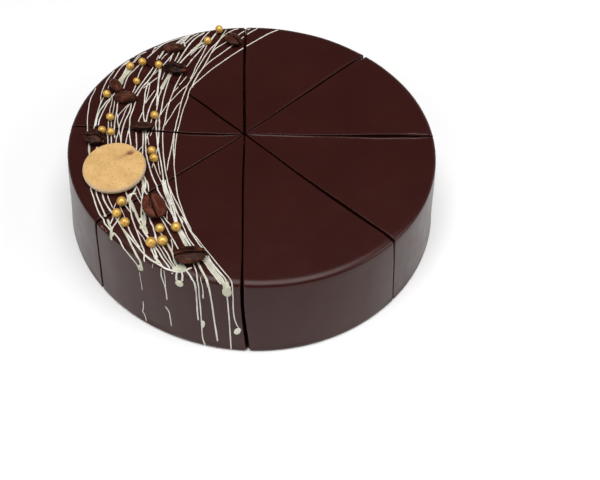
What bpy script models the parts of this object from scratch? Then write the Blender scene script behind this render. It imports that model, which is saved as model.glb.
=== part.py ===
# Round glazed coffee cake, cut into eight slices that still stand together,
# with coffee beans and one round biscuit on top.
# Metres, +Z up.  The origin is at the middle of the round foot, on the
# surface that the cake stands on.  The front of the cake faces -Y.
import bpy
import bmesh
import math
from mathutils import Vector, Matrix, Euler

# ---------------------------------------------------------------- dimensions
TOP_R = 0.1000          # radius of the shoulder, where the side begins
FOOT_R = 0.1078         # radius of the side just above the foot
CAKE_H = 0.0486         # height of the glazed body
RIM_ROUND = 0.0020      # rounding of the top edge
FOOT_ROUND = 0.0010     # small rounding of the bottom edge
STEPS = 96              # facets round the cake
TOUCH_GAP = 0.0003      # space between pieces that touch

CUT_CENTRE = (-0.0064, -0.0014)  # the cuts cross a little off the middle
GAP_AT_CENTRE = 0.00036          # width of every cut where they cross
CUT_REACH = 0.105                # where the rim widths below are measured
# direction of each cut in degrees, and its width at the rim; the knife
# strayed up to three degrees from even eighths
CUTS = [
    (0.4, 0.0013), (44.8, 0.0015), (90.6, 0.0014), (135.1, 0.0008),
    (177.9, 0.0008), (222.3, 0.0006), (269.9, 0.0019), (315.3, 0.0013),
]

BISCUIT_R = 0.0160
BISCUIT_H = 0.0056
BISCUIT_AT = (-0.0718, -0.0313)
BISCUIT_OVAL = (0.98, 1.03)      # it isn't quite round
BISCUIT_LEAN = 2.5               # degrees; its far side lies on thicker icing

# name, (x, y), length, width, thickness, turn in degrees of the long axis,
# tilt about the long axis, tilt about the cross axis, crease side up
BEANS = [
    ("bean_01", (-0.0146, 0.0807), 0.0118, 0.0086, 0.0046, -45.0, 6.0, 4.0, True),
    ("bean_02", (-0.0506, 0.0716), 0.0128, 0.0066, 0.0040, 14.0, 8.0, 3.0, False),
    ("bean_03", (-0.0478, 0.0507), 0.0136, 0.0082, 0.0044, -12.0, 6.0, -3.0, True),
    ("bean_04", (-0.0801, 0.0342), 0.0118, 0.0066, 0.0044, -60.0, -10.0, 5.0, False),
    ("bean_05", (-0.0735, 0.0246), 0.0121, 0.0081, 0.0048, 6.0, 6.0, 2.0, False),
    ("bean_06", (-0.0614, 0.0006), 0.0117, 0.0066, 0.0044, -2.0, -12.0, 0.0, True),
    ("bean_07", (-0.0856, -0.0089), 0.0104, 0.0092, 0.0046, -15.0, 6.0, 2.0, True),
    ("bean_08", (-0.0492, -0.0571), 0.0148, 0.0116, 0.0060, 107.0, 12.0, -3.0, True),
    ("bean_09", (-0.0302, -0.0862), 0.0147, 0.0092, 0.0054, 5.0, 6.0, 0.0, True),
]


# ------------------------------------------------------------------ helpers
def collection(name):
    coll = bpy.data.collections.new(name)
    bpy.context.scene.collection.children.link(coll)
    return coll


def material(name, rgb, rough, metal=0.0):
    mat = bpy.data.materials.new(name)
    mat.use_nodes = True
    bsdf = mat.node_tree.nodes["Principled BSDF"]
    bsdf.inputs["Base Color"].default_value = (rgb[0], rgb[1], rgb[2], 1.0)
    bsdf.inputs["Roughness"].default_value = rough
    bsdf.inputs["Metallic"].default_value = metal
    return mat


def add_object(name, bm, coll, mat=None, angle=40.0):
    mesh = bpy.data.meshes.new(name)
    bm.normal_update()
    bm.to_mesh(mesh)
    bm.free()
    obj = bpy.data.objects.new(name, mesh)
    coll.objects.link(obj)
    if mat is not None:
        mesh.materials.append(mat)
    mesh.shade_smooth()
    mesh.set_sharp_from_angle(angle=math.radians(angle))
    return obj


def turned(name, profile, coll, mat, steps):
    """A profile of (radius, height) points, listed down its outer side,
    turned once about Z."""
    bm = bmesh.new()
    last = None
    for r, z in profile:
        v = bm.verts.new((r, 0.0, z))
        if last is not None:
            bm.edges.new((last, v))
        last = v
    obj = add_object(name, bm, coll, mat)
    screw = obj.modifiers.new("turn", "SCREW")
    screw.axis = "Z"
    screw.angle = math.radians(360.0)
    screw.steps = steps
    screw.render_steps = steps
    screw.use_merge_vertices = True
    screw.merge_threshold = 0.00001
    screw.use_smooth_shade = True
    return obj


def quarter_round(cx, cz, radius, start, stop, count):
    pts = []
    for i in range(count + 1):
        a = math.radians(start + (stop - start) * i / count)
        pts.append((cx + radius * math.cos(a), cz + radius * math.sin(a)))
    return pts


# --------------------------------------------------------------- cake slices
def cake_profile():
    pts = [(0.0, CAKE_H)]
    pts += quarter_round(TOP_R - RIM_ROUND, CAKE_H - RIM_ROUND, RIM_ROUND, 90.0, 4.0, 5)
    pts += quarter_round(FOOT_R - FOOT_ROUND, FOOT_ROUND, FOOT_ROUND, -4.0, -90.0, 2)
    pts += [(0.0, 0.0)]
    return pts


def cut_line(index, side):
    """Two points on the face of a cut: at the crossing and far outside.
    side is +1 for the face on the cut's left, -1 for the one on its right."""
    angle, width = CUTS[index % len(CUTS)]
    a = math.radians(angle)
    d = Vector((math.cos(a), math.sin(a)))
    n = Vector((-d.y, d.x)) * side
    c = Vector(CUT_CENTRE)
    p0 = c + n * (GAP_AT_CENTRE / 2)
    p1 = c + d * CUT_REACH + n * (width / 2)
    return p0, p0 + (p1 - p0) * 1.6


def crossing(p, q, r, s):
    """Where the line p-q meets the line r-s."""
    d, e = q - p, s - r
    t = ((r - p).x * e.y - (r - p).y * e.x) / (d.x * e.y - d.y * e.x)
    return p + d * t


def wedge(index, coll):
    """The space between two neighbouring cuts, as a tall prism."""
    a0, a1 = cut_line(index, +1)
    b0, b1 = cut_line(index + 1, -1)
    tip = crossing(a0, a1, b0, b1)
    bm = bmesh.new()
    ring = [bm.verts.new((p.x, p.y, -0.01)) for p in (tip, a1, b1)]
    face = bm.faces.new(ring)
    out = bmesh.ops.extrude_face_region(bm, geom=[face])
    top = [g for g in out["geom"] if isinstance(g, bmesh.types.BMVert)]
    bmesh.ops.translate(bm, verts=top, vec=(0.0, 0.0, CAKE_H + 0.02))
    bmesh.ops.recalc_face_normals(bm, faces=bm.faces[:])
    obj = add_object("space_%02d" % (index + 1), bm, coll)
    obj.hide_render = True
    obj.display_type = "WIRE"
    return obj


# --------------------------------------------------------------- coffee bean
def bean_mesh(length, width, thick, crease_up):
    """A roasted bean: domed back, flatter face with a crease along it.
    The sphere's poles lie on the long axis, so the crease is a meridian."""
    bm = bmesh.new()
    bmesh.ops.create_uvsphere(bm, u_segments=20, v_segments=12, radius=1.0)
    bmesh.ops.rotate(bm, verts=bm.verts[:], cent=(0, 0, 0),
                     matrix=Matrix.Rotation(math.radians(90.0), 3, "Y"))
    for v in bm.verts:
        x, y, z = v.co
        across = math.hypot(y, z)
        if z >= 0.0:
            z = z * 0.42                        # flatter face
            if abs(y) < 0.12 * max(across, 0.2) and across > 0.3:
                z -= 0.30 * (across ** 0.5)     # crease
        v.co = Vector((x * length / 2, y * width / 2, z * thick * 0.70))
    if not crease_up:
        bmesh.ops.rotate(bm, verts=bm.verts[:], cent=(0, 0, 0),
                         matrix=Matrix.Rotation(math.radians(180.0), 3, "X"))
    return bm


def bean(name, at, length, width, thick, turn, roll, pitch, crease_up, coll, mat):
    bm = bean_mesh(length, width, thick, crease_up)
    rot = Euler((math.radians(roll), math.radians(pitch), math.radians(turn)), "XYZ")
    low = min((rot.to_matrix() @ v.co).z for v in bm.verts)
    obj = add_object(name, bm, coll, mat, angle=50.0)
    obj.rotation_euler = rot
    obj.location = (at[0], at[1], CAKE_H + TOUCH_GAP - low)
    return obj


# ------------------------------------------------------------------- biscuit
def biscuit_profile():
    r, h = BISCUIT_R, BISCUIT_H
    pts = [(0.0, h)]
    # low dome, then a soft rounded edge that tucks in to the flat underside
    for i in range(1, 4):
        f = i / 4.0
        pts.append((r * 0.90 * f, h - 0.0008 * f * f))
    pts += quarter_round(r - 0.0018, 0.0027, 0.0018, 78.0, -20.0, 5)
    pts += [(r - 0.0028, 0.0), (0.0, 0.0)]
    return pts


# ---------------------------------------------------------------------- main
def main():
    for obj in list(bpy.data.objects):
        bpy.data.objects.remove(obj, do_unlink=True)

    parts = collection("round_cake")
    cutters = collection("cutters")

    glaze = material("dark_glaze", (0.030, 0.012, 0.010), 0.22)
    roast = material("roasted_bean", (0.040, 0.016, 0.009), 0.40)
    crust = material("biscuit_crust", (0.560, 0.360, 0.160), 0.70)

    for i in range(len(CUTS)):
        space = wedge(i, cutters)
        piece = turned("slice_%02d" % (i + 1), cake_profile(), parts, glaze, STEPS)
        cut = piece.modifiers.new("slice", "BOOLEAN")
        cut.operation = "INTERSECT"
        cut.solver = "EXACT"
        cut.object = space

    for name, at, length, width, thick, turn, roll, pitch, up in BEANS:
        bean(name, at, length, width, thick, turn, roll, pitch, up, parts, roast)

    disc = turned("biscuit", biscuit_profile(), parts, crust, 40)
    lean = math.radians(BISCUIT_LEAN)
    disc.scale = (BISCUIT_OVAL[0], BISCUIT_OVAL[1], 1.0)
    disc.rotation_euler = (lean, 0.0, 0.0)
    lift = math.sin(lean) * (BISCUIT_R - 0.0028) * BISCUIT_OVAL[1]
    disc.location = (BISCUIT_AT[0], BISCUIT_AT[1], CAKE_H + TOUCH_GAP + lift)


main()
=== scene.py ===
# Looks of the round glazed coffee cake: its eight slices, the drizzle, the
# gold pearls, the coffee beans, the biscuit and a few crumbs, made round the
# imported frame.  Metres, +Z up, the front of the cake faces -Y.
import bpy
import bmesh
import math
import random
from mathutils import Vector, Matrix, Euler, noise


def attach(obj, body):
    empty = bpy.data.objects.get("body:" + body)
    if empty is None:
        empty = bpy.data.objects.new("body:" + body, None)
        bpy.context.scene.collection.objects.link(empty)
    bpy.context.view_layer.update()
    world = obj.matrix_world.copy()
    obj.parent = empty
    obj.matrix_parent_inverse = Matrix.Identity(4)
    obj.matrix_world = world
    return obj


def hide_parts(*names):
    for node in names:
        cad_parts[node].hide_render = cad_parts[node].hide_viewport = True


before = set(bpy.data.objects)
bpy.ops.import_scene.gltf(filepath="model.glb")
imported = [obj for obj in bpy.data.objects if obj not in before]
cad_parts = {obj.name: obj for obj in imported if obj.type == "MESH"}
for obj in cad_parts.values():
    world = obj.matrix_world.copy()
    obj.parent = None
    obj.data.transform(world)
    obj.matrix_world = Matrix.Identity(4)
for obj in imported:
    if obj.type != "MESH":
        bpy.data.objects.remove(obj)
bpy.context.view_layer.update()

# ----------------------------------------------------- sizes, as in the CAD
TOP_R = 0.1000
FOOT_R = 0.1078
CAKE_H = 0.0486
RIM = 0.0020          # how far the rounded rim drops
RIM_IN = 0.0040       # how far in from the side the rounding starts
FOOT = 0.0010
TOUCH_GAP = 0.0003
CUT_CENTRE = (-0.0064, -0.0014)
CUT_REACH = 0.105
CUTS = [0.4, 44.8, 90.6, 135.1, 177.9, 222.3, 269.9, 315.3]
# width of each cut in the glaze: (reach, width) in mm
WIDTHS = [
    ((0, 0.55), (33, 0.60), (45, 0.85), (59, 1.35), (67, 2.25), (75, 2.75), (84, 2.55), (92, 1.95), (101, 1.35), (105, 1.10)),
    ((0, 0.60), (28, 0.80), (50, 1.05), (63, 1.25), (71, 1.10), (95, 1.15), (105, 1.4)),
    ((0, 1.60), (28, 1.60), (50, 1.45), (70, 1.65), (105, 1.80)),
    ((0, 1.00), (15, 1.40), (37, 1.40), (46, 1.05), (50, 0.55), (72, 0.50), (79, 1.00), (85, 1.35), (89, 0.95), (105, 0.95)),
    ((0, 0.85), (20, 1.30), (35, 1.30), (60, 1.05), (105, 1.05)),
    ((0, 0.50), (14, 0.52), (24, 0.70), (44, 0.72), (60, 1.00), (80, 1.05), (96, 1.40), (105, 1.80)),
    ((0, 0.80), (14, 1.00), (40, 0.95), (80, 0.80), (95, 1.05), (105, 1.75)),
    ((0, 1.20), (20, 1.10), (34, 1.10), (51, 1.55), (68, 2.00), (84, 1.95), (95, 1.55), (101, 1.30), (105, 0.60)),
]
# low ridge that the knife left beside a cut: cut, side (+1 is left of its
# direction), then (reach, height) in mm
RIDGES = [
    (0, -1, ((0, 0.10), (2.5, 0.30), (30, 0.24), (42, 0.17), (60, 0.22), (80, 0.27), (99, 0.26), (105, 0.12))),
    (0, +1, ((0, 0.0), (8, 0.06), (40, 0.10), (70, 0.10), (90, 0.14), (105, 0.08))),
    (1, -1, ((0, 0.0), (4, 0.16), (24, 0.10), (39, 0.10), (58, 0.10), (80, 0.14), (100, 0.10))),
    (1, +1, ((0, 0.0), (4, 0.12), (24, 0.12), (39, 0.26), (58, 0.26), (80, 0.30), (100, 0.16))),
    (4, +1, ((0, 0.0), (8, 0.16), (22, 0.17), (34, 0.13), (100, 0.10))),
    (4, -1, ((0, 0.0), (8, 0.13), (24, 0.10), (100, 0.06))),
    (5, -1, ((0, 0.0), (6, 0.14), (26, 0.19), (44, 0.18), (100, 0.11))),
    (5, +1, ((0, 0.0), (20, 0.04), (100, 0.04))),
]
# How each cut wanders sideways from its straight line, to the left of its
# direction: (reach, shift) in mm over the top, then (height, shift) down the
# side.
WANDER = [
    (((0, 0), (6, 0.3), (32, -0.45), (53, -0.45), (74, -0.33), (88, 0.0), (106, 0.4)), ((49, 0.0), (0, 0.0))),
    (((0, 0), (6, 0.35), (21, 0.0), (33, 0.1), (56, 0.1), (71, 0.3), (90, 0.3), (101, -0.1)), ((49, 0.0), (0, 0.0))),
    (((0, 0), (8, 0.0), (20, 0.2), (54, 0.35), (73, 0.3), (86, -0.15), (97, -0.4)), ((49, 0.0), (0, 0.0))),
    (((0, 0), (20, 0.2), (33, -0.2), (42, 0.0), (50, 0.2), (96, 0.45)), ((49, 0.0), (0, 0.0))),
    (((0, 0), (10, 1.1), (29, 1.45), (45, 0.8), (63, -0.1), (82, -0.6), (95, -0.5)), ((49, 0.0), (0, 0.0))),
    (((0, 0), (11, 0.5), (26, 0.4), (43, 0.4), (63, 0.6), (75, 0.4), (85, -0.2), (94, -1.4), (98, -2.0)),
     ((49, 0.0), (43, -0.3), (36, 0.3), (28, 0.95), (15, 1.9), (0, 3.0))),
    (((0, 0), (40, -0.2), (65, 0.15), (80, 0.35), (95, 0.45)), ((49, 0.0), (36, 0.0), (28, 0.3), (19, 0.9), (9, 1.75), (0, 2.6))),
    (((0, 0), (16, -0.2), (41, -0.75), (58, -0.75), (73, -0.45), (88, -0.2), (97, 0.3), (103, 0.2)),
     ((49, 0.0), (46, 0.0), (30, 1.1), (0, 2.4))),
]
BISCUIT_R = 0.0160
BISCUIT_H = 0.0056
BISCUIT_AT = (-0.0718, -0.0313)
BISCUIT_OVAL = (0.98, 1.03)
BISCUIT_LEAN = 2.5

BEANS = [
    ("bean_01", (-0.0146, 0.0807), 0.0118, 0.0086, 0.0046, -45.0, 6.0, 4.0, True),
    ("bean_02", (-0.0506, 0.0716), 0.0128, 0.0066, 0.0040, 14.0, 8.0, 3.0, False),
    ("bean_03", (-0.0478, 0.0507), 0.0136, 0.0082, 0.0044, -12.0, 6.0, -3.0, True),
    ("bean_04", (-0.0801, 0.0342), 0.0118, 0.0066, 0.0044, -60.0, -10.0, 5.0, False),
    ("bean_05", (-0.0735, 0.0246), 0.0121, 0.0081, 0.0048, 6.0, 6.0, 2.0, False),
    ("bean_06", (-0.0614, 0.0006), 0.0117, 0.0066, 0.0044, -2.0, -12.0, 0.0, True),
    ("bean_07", (-0.0856, -0.0089), 0.0104, 0.0092, 0.0046, -15.0, 6.0, 2.0, True),
    ("bean_08", (-0.0492, -0.0571), 0.0148, 0.0116, 0.0060, 107.0, 12.0, -3.0, True),
    ("bean_09", (-0.0302, -0.0862), 0.0147, 0.0092, 0.0054, 5.0, 6.0, 0.0, True),
]
# how each bean's crease wanders: sideways swing, half waves, depth
BEAN_CREASE = {
    "bean_01": (0.14, 1.6, 1.2), "bean_02": (0.06, 1.0, 0.8),
    "bean_03": (0.17, 2.2, 1.3), "bean_04": (0.05, 1.0, 0.8),
    "bean_05": (0.06, 1.2, 0.8), "bean_06": (0.08, 1.4, 1.0),
    "bean_07": (0.20, 2.2, 1.4), "bean_08": (0.13, 0.9, 1.35),
    "bean_09": (0.09, 1.6, 0.95),
}
# how red each bean's roast is
BEAN_SLANT = {8: (0.13, 0.10), 9: (0.06, 0.20)}
BEAN_BACK = {4: (-0.30, 0.10), 5: (0.28, -0.22)}
BEAN_WARMTH = [0.7, 0.5, 0.25, 0.9, 0.8, 0.8, 0.5, 1.8, 0.7]
# and how charred it is all over
BEAN_CHAR = [0.15, 0.20, 0.90, 0.22, 0.28, 0.50, 0.50, 0.06, 0.42]

# gold pearls: place in mm on the top, and diameter in mm
PEARLS = [
    (-23.8, 91.6, 4.9), (-30.4, 79.2, 4.8), (-58.1, 54.6, 4.6), (-67.9, 56.8, 4.6),
    (-74.5, 52.6, 4.55), (-69.3, 39.2, 4.0), (-84.4, 27.2, 4.35), (-56.1, 10.2, 4.5),
    (-79.8, 8.1, 4.4), (-82.6, -2.4, 4.3), (-77.9, -3.5, 4.2), (-54.8, -17.4, 4.5),
    (-53.1, -22.9, 4.5), (-65.6, -53.0, 4.85), (-67.0, -60.2, 4.6), (-62.5, -65.9, 4.6),
    (-45.6, -69.4, 4.4), (-38.1, -68.6, 4.7), (-48.8, -78.0, 5.05), (-43.6, -76.9, 4.9),
]

# Icing threads: width in mm, then points in mm on the cake's skin laid flat.
# A point's distance from the middle runs over the top, round the rim and down
# the side; its direction is the direction on the cake.
THREADS = [
    (0.62, ((14.1, 96.3), (8.6, 92.5), (2.3, 86.6), (-5.2, 79.1), (-9.1, 75.0), (-15.0, 68.5), (-21.6, 60.6), (-27.2, 53.7), (-31.8, 46.9), (-36.4, 39.9), (-38.1, 36.5), (-39.0, 32.6), (-39.4, 27.6), (-40.3, 22.6), (-41.2, 17.2), (-41.8, 12.2), (-42.3, 5.7), (-42.9, 0.5), (-43.1, -2.8), (-43.2, -7.4), (-43.2, -11.5), (-43.0, -17.9), (-42.8, -24.3), (-42.0, -30.4), (-41.0, -36.4), (-40.3, -40.9), (-39.3, -46.3), (-38.0, -50.7), (-36.6, -54.7), (-35.0, -59.3), (-33.2, -63.8), (-31.4, -67.6), (-30.8, -69.8), (-28.1, -73.4), (-24.9, -78.3), (-21.7, -82.8), (-18.2, -87.9), (-15.1, -92.2), (-12.6, -95.7), (-10.9, -98.4), (-10.6, -101.2), (-10.8, -104.6))),
    (0.62, ((-11.7, 96.5), (-15.7, 94.1), (-20.0, 89.3), (-22.9, 84.7), (-25.2, 80.0), (-28.2, 74.8), (-30.7, 68.7), (-33.3, 61.3), (-35.4, 54.2), (-36.9, 48.8), (-38.5, 44.1), (-40.2, 39.1), (-40.7, 35.5), (-41.6, 31.1), (-42.4, 26.4), (-42.8, 22.3), (-43.2, 17.2), (-43.5, 12.2), (-44.0, 7.8), (-44.3, 2.4), (-44.7, -1.1), (-44.9, -5.7), (-45.1, -11.5), (-45.5, -18.0), (-45.9, -23.9), (-45.9, -29.7))),
    (0.6, ((-44.5, 0.5), (-44.3, -8.4), (-44.0, -14.5), (-43.2, -20.1), (-42.7, -24.3))),
    (0.85, ((-44.3, -39.7), (-42.5, -44.5), (-40.4, -49.2), (-38.5, -53.0), (-36.4, -57.6), (-34.6, -61.6), (-32.8, -66.5), (-30.8, -70.4), (-28.7, -74.0), (-26.7, -77.4), (-25.1, -79.5))),
    (0.9, ((-23.4, -83.9), (-22.4, -85.4), (-19.9, -89.0), (-16.8, -93.3), (-14.2, -96.4), (-12.7, -99.6))),
    (0.9, ((-23.6, -87.8), (-21.3, -91.7), (-18.2, -96.2), (-15.7, -99.4))),
    (1, ((-23.6, -85.4), (-20.4, -89.7), (-17.3, -94.3), (-14.8, -97.5), (-13.7, -100.6))),
    (0.6, ((-19.4, 94.9), (-20.9, 90.8), (-22.5, 86.0), (-24.3, 80.8), (-26.1, 75.9), (-28.3, 68.7), (-30.3, 61.5), (-31.9, 56.2), (-33.4, 52.2), (-34.6, 49.5), (-35.7, 45.6), (-36.9, 41.3), (-37.1, 37.1))),
    (0.6, ((0.7, 97.3), (-4.4, 92.3), (-9.3, 86.3), (-13.1, 80.9), (-16.5, 76.6), (-22.3, 69.1), (-27.6, 62.5), (-31.9, 55.5), (-34.5, 48.9), (-36.4, 42.3), (-37.8, 37.2))),
    (0.55, ((-4.0, 96.7), (-8.5, 93.3), (-11.6, 89.7), (-15.5, 86.0), (-19.7, 81.0), (-22.7, 77.7), (-25.4, 74.5), (-27.5, 70.3))),
    (0.6, ((-31.1, 77.2), (-32.7, 70.0), (-34.6, 63.0), (-36.4, 56.5), (-37.6, 49.8), (-38.8, 45.5), (-38.9, 44.5))),
    (0.55, ((-33.0, 76.4), (-36.4, 68.5), (-40.2, 61.4))),
    (0.55, ((-36.7, 68.6), (-39.7, 61.7), (-42.2, 55.8))),
    (0.9, ((-33.8, 80.7), (-37.1, 75.6), (-40.3, 70.5), (-42.8, 66.1), (-45.8, 60.1))),
    (0.5, ((-32.6, 78.0), (-35.6, 75.1), (-38.0, 72.9), (-40.2, 69.6))),
    (0.5, ((-37.0, 73.3), (-38.9, 70.0), (-40.4, 67.3))),
    (0.6, ((-29.5, 93.0), (-31.5, 89.7), (-33.9, 84.4), (-35.4, 79.9), (-37.8, 75.9), (-40.9, 71.1))),
    (1.6, ((-34.1, 80.4), (-36.5, 77.0), (-39.3, 72.6))),
    (0.75, ((-33.1, 91.0), (-37.7, 85.7), (-40.9, 80.1), (-43.3, 73.9), (-45.3, 67.7), (-47.0, 62.0), (-47.8, 59.7))),
    (0.55, ((-36.6, 89.9), (-39.6, 86.8), (-41.9, 83.4), (-44.4, 78.8), (-44.6, 76.4))),
    (0.5, ((-43.5, 86.6), (-46.1, 82.3), (-48.3, 79.5))),
    (0.9, ((-46.1, 83.5), (-45.2, 79.9), (-44.3, 75.9))),
    (0.7, ((-47.3, 70.8), (-48.3, 65.9), (-49.5, 61.1))),
    (0.55, ((-50.5, 69.2), (-52.4, 65.1), (-53.8, 61.7), (-55.4, 58.3))),
    (0.5, ((-51.6, 65.7), (-52.0, 62.9), (-52.4, 60.7))),
    (1, ((-56.7, 70.7), (-57.9, 67.2), (-59.1, 63.2))),
    (0.5, ((-54.6, 68.5), (-56.5, 65.0), (-57.6, 62.1))),
    (0.5, ((-59.4, 66.6), (-60.4, 62.0))),
    (0.6, ((-53.6, 81.3), (-57.4, 78.2), (-60.5, 73.7), (-63.4, 68.4), (-66.3, 63.3))),
    (0.5, ((-62.2, 75.1), (-63.3, 70.4), (-63.8, 68.9))),
    (0.5, ((-44.7, 86.0), (-53.0, 81.6), (-58.8, 77.1), (-62.6, 73.1))),
    (0.55, ((-92.2, 34.8), (-92.6, 30.8), (-93.5, 26.1), (-93.6, 21.6), (-93.2, 15.9), (-92.9, 11.6))),
    (0.55, ((-93.3, 16.0), (-92.8, 10.5), (-92.1, 5.4), (-91.4, 1.9), (-90.9, -1.3))),
    (1.3, ((-88.4, -10.8), (-88.1, -13.4), (-87.6, -16.2), (-86.6, -19.6))),
    (1, ((-77.0, 54.3), (-77.9, 49.3), (-78.8, 45.5), (-79.8, 42.4))),
    (0.7, ((-70.1, 56.4), (-72.6, 51.5), (-74.4, 48.1), (-75.5, 44.5), (-76.1, 39.7), (-76.4, 35.6))),
    (1.3, ((-74.0, 51.7), (-76.2, 49.4), (-77.8, 44.5), (-77.9, 40.1))),
    (1.2, ((-75.5, 52.6), (-77.2, 50.2), (-78.4, 47.1))),
    (0.8, ((-79.6, 43.1), (-78.0, 40.5))),
    (0.5, ((-67.2, 69.7), (-71.5, 65.6), (-73.5, 60.3), (-74.7, 56.8))),
    (0.5, ((-70.4, 65.6), (-72.1, 62.1), (-73.3, 58.6))),
    (1.2, ((-76.0, 60.3), (-77.7, 58.8), (-79.1, 56.1))),
    (0.6, ((-77.7, 58.8), (-79.6, 55.6), (-81.6, 50.3), (-82.7, 46.0), (-83.6, 43.1))),
    (0.6, ((-84.0, 50.9), (-85.1, 47.4), (-86.6, 42.4), (-87.5, 37.2), (-88.0, 33.1), (-88.2, 30.0), (-88.1, 26.2), (-87.5, 23.3), (-87.7, 18.7), (-87.9, 14.6), (-88.0, 10.2), (-88.0, 6.2), (-87.9, 2.7), (-87.9, 0.6))),
    (0.5, ((-85.1, 37.3), (-85.2, 34.3))),
    (0.5, ((-86.4, 27.0), (-86.9, 24.2), (-87.4, 20.6))),
    (0.85, ((-81.7, 28.1), (-83.2, 24.9), (-84.6, 22.6), (-85.8, 18.8), (-86.8, 15.8), (-87.3, 12.8), (-87.5, 9.1), (-87.4, 5.5), (-87.4, 2.7))),
    (0.7, ((-82.8, 24.2), (-83.7, 21.5), (-84.4, 18.1), (-85.1, 14.3), (-85.6, 11.0), (-86.0, 7.4), (-85.9, 3.4))),
    (0.5, ((-81.6, 25.8), (-81.4, 21.2), (-81.6, 17.0), (-81.3, 13.7))),
    (0.5, ((-80.0, 23.9), (-79.7, 19.3), (-79.6, 13.8))),
    (0.5, ((-81.1, 7.9), (-80.8, 5.0), (-80.4, 2.2))),
    (0.5, ((-79.6, 7.9), (-79.2, 5.0), (-78.7, 2.2))),
    (0.6, ((-79.9, -4.1), (-79.2, -7.6), (-78.7, -10.6))),
    (0.7, ((-78.0, -3.4), (-77.5, -6.8), (-76.9, -10.6))),
    (0.8, ((-78.0, 21.1), (-77.7, 17.5), (-77.6, 13.8), (-77.6, 9.4), (-77.4, 5.1), (-77.0, 0.8), (-76.6, -3.0), (-75.7, -6.1))),
    (0.6, ((-77.0, 13.1), (-76.4, 9.4), (-76.0, 6.6), (-75.1, 3.7), (-74.5, 0.9), (-74.5, -2.6), (-74.8, -5.7), (-74.8, -8.1), (-74.6, -10.5))),
    (0.5, ((-71.8, 21.5), (-73.2, 18.8), (-74.5, 15.8), (-75.7, 13.1), (-76.3, 10.9), (-76.3, 8.7))),
    (0.6, ((-71.2, 21.9), (-72.4, 18.4), (-73.1, 14.3), (-73.7, 9.5), (-74.4, 5.2), (-74.6, 1.6), (-73.9, -1.9), (-73.1, -4.7), (-72.4, -8.1), (-71.9, -10.8))),
    (0.75, ((-68.3, 23.9), (-68.8, 17.5), (-69.4, 13.0), (-69.7, 9.3), (-69.2, 4.3), (-69.0, 0.7), (-68.3, -3.4), (-67.2, -8.6), (-66.7, -11.3))),
    (0.8, ((-70.5, 21.2), (-70.4, 16.7), (-71.1, 12.2), (-72.0, 7.8), (-72.4, 3.5), (-72.6, -0.0), (-72.6, -3.9), (-72.1, -8.7), (-71.9, -11.1))),
    (0.7, ((-69.2, 0.0), (-69.4, -3.5), (-69.5, -6.9), (-69.4, -10.7))),
    (0.8, ((-65.1, -1.3), (-64.5, -5.1), (-64.0, -8.9), (-63.5, -12.0))),
    (0.8, ((-61.3, -1.7), (-60.7, -6.6), (-60.3, -11.9), (-59.9, -16.6), (-59.9, -18.3))),
    (0.9, ((-60.1, -1.7), (-59.4, -6.6), (-58.9, -11.4))),
    (0.6, ((-58.0, -1.2), (-58.8, -3.9), (-58.8, -6.6))),
    (0.5, ((-56.6, -1.4), (-57.3, -4.3))),
    (0.5, ((-58.5, -4.8), (-57.8, -8.3), (-57.0, -11.3))),
    (0.85, ((-58.9, -11.4), (-58.1, -16.5), (-57.1, -20.8), (-55.9, -24.9), (-54.8, -28.6), (-53.5, -32.6), (-51.9, -36.6), (-50.1, -40.5), (-49.3, -43.4), (-47.1, -47.4), (-45.2, -50.8), (-44.0, -53.4), (-42.4, -56.0), (-40.9, -58.8), (-39.5, -61.6), (-38.8, -63.6))),
    (0.5, ((-60.4, -12.3), (-61.4, -14.0), (-62.1, -16.0))),
    (0.6, ((-53.5, -24.0), (-52.2, -27.7), (-50.7, -31.8), (-48.8, -36.2), (-47.3, -39.7), (-46.1, -44.3), (-44.6, -48.4), (-43.2, -51.9), (-41.6, -55.4))),
    (0.4, ((-53.5, -24.0), (-53.8, -27.8))),
    (0.5, ((-51.3, -22.3), (-50.3, -27.7), (-49.1, -32.6))),
    (0.8, ((-55.1, 9.7), (-55.2, 5.4), (-54.6, 1.8), (-54.1, -1.5), (-53.3, -6.4), (-52.7, -10.4), (-51.7, -14.7), (-50.6, -19.8), (-49.4, -24.8), (-48.4, -29.7), (-47.5, -34.6), (-46.6, -39.3), (-45.8, -42.4), (-44.6, -46.3), (-43.2, -49.6))),
    (0.8, ((-53.5, 8.6), (-53.1, 3.1), (-52.9, -0.6), (-52.6, -6.0), (-52.4, -10.8), (-52.3, -13.8))),
    (0.7, ((-43.9, 50.3), (-45.6, 43.8), (-47.1, 37.7), (-48.0, 32.5), (-49.1, 25.8), (-49.6, 21.2), (-50.1, 16.6), (-50.2, 13.5), (-50.3, 8.0), (-50.6, 4.4), (-50.9, 1.2), (-50.8, -1.4), (-50.3, -6.8), (-49.7, -12.1), (-48.9, -18.1), (-47.8, -24.4), (-46.8, -29.7), (-45.7, -34.5), (-44.5, -39.3), (-44.2, -40.3), (-43.2, -43.9), (-42.3, -47.2), (-41.1, -50.7), (-39.7, -54.5), (-38.1, -58.8), (-36.7, -62.1), (-35.4, -65.5), (-34.1, -68.5), (-32.7, -72.3), (-31.0, -75.3), (-28.7, -78.9))),
    (0.6, ((-40.3, 38.9), (-42.5, 35.8), (-45.3, 31.0), (-47.9, 26.0), (-50.1, 22.3), (-51.5, 18.4), (-52.7, 15.0), (-53.5, 12.7))),
    (0.55, ((-42.8, 24.0), (-44.5, 21.3), (-46.1, 16.7), (-47.7, 11.4), (-49.3, 7.3), (-50.0, 4.4))),
    (0.55, ((-41.3, 46.9), (-43.1, 42.7), (-45.1, 38.5))),
    (0.5, ((-45.4, 37.3), (-46.6, 34.9), (-47.7, 32.9))),
    (0.5, ((-54.3, 50.6), (-54.9, 47.2), (-55.4, 43.5))),
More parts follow.
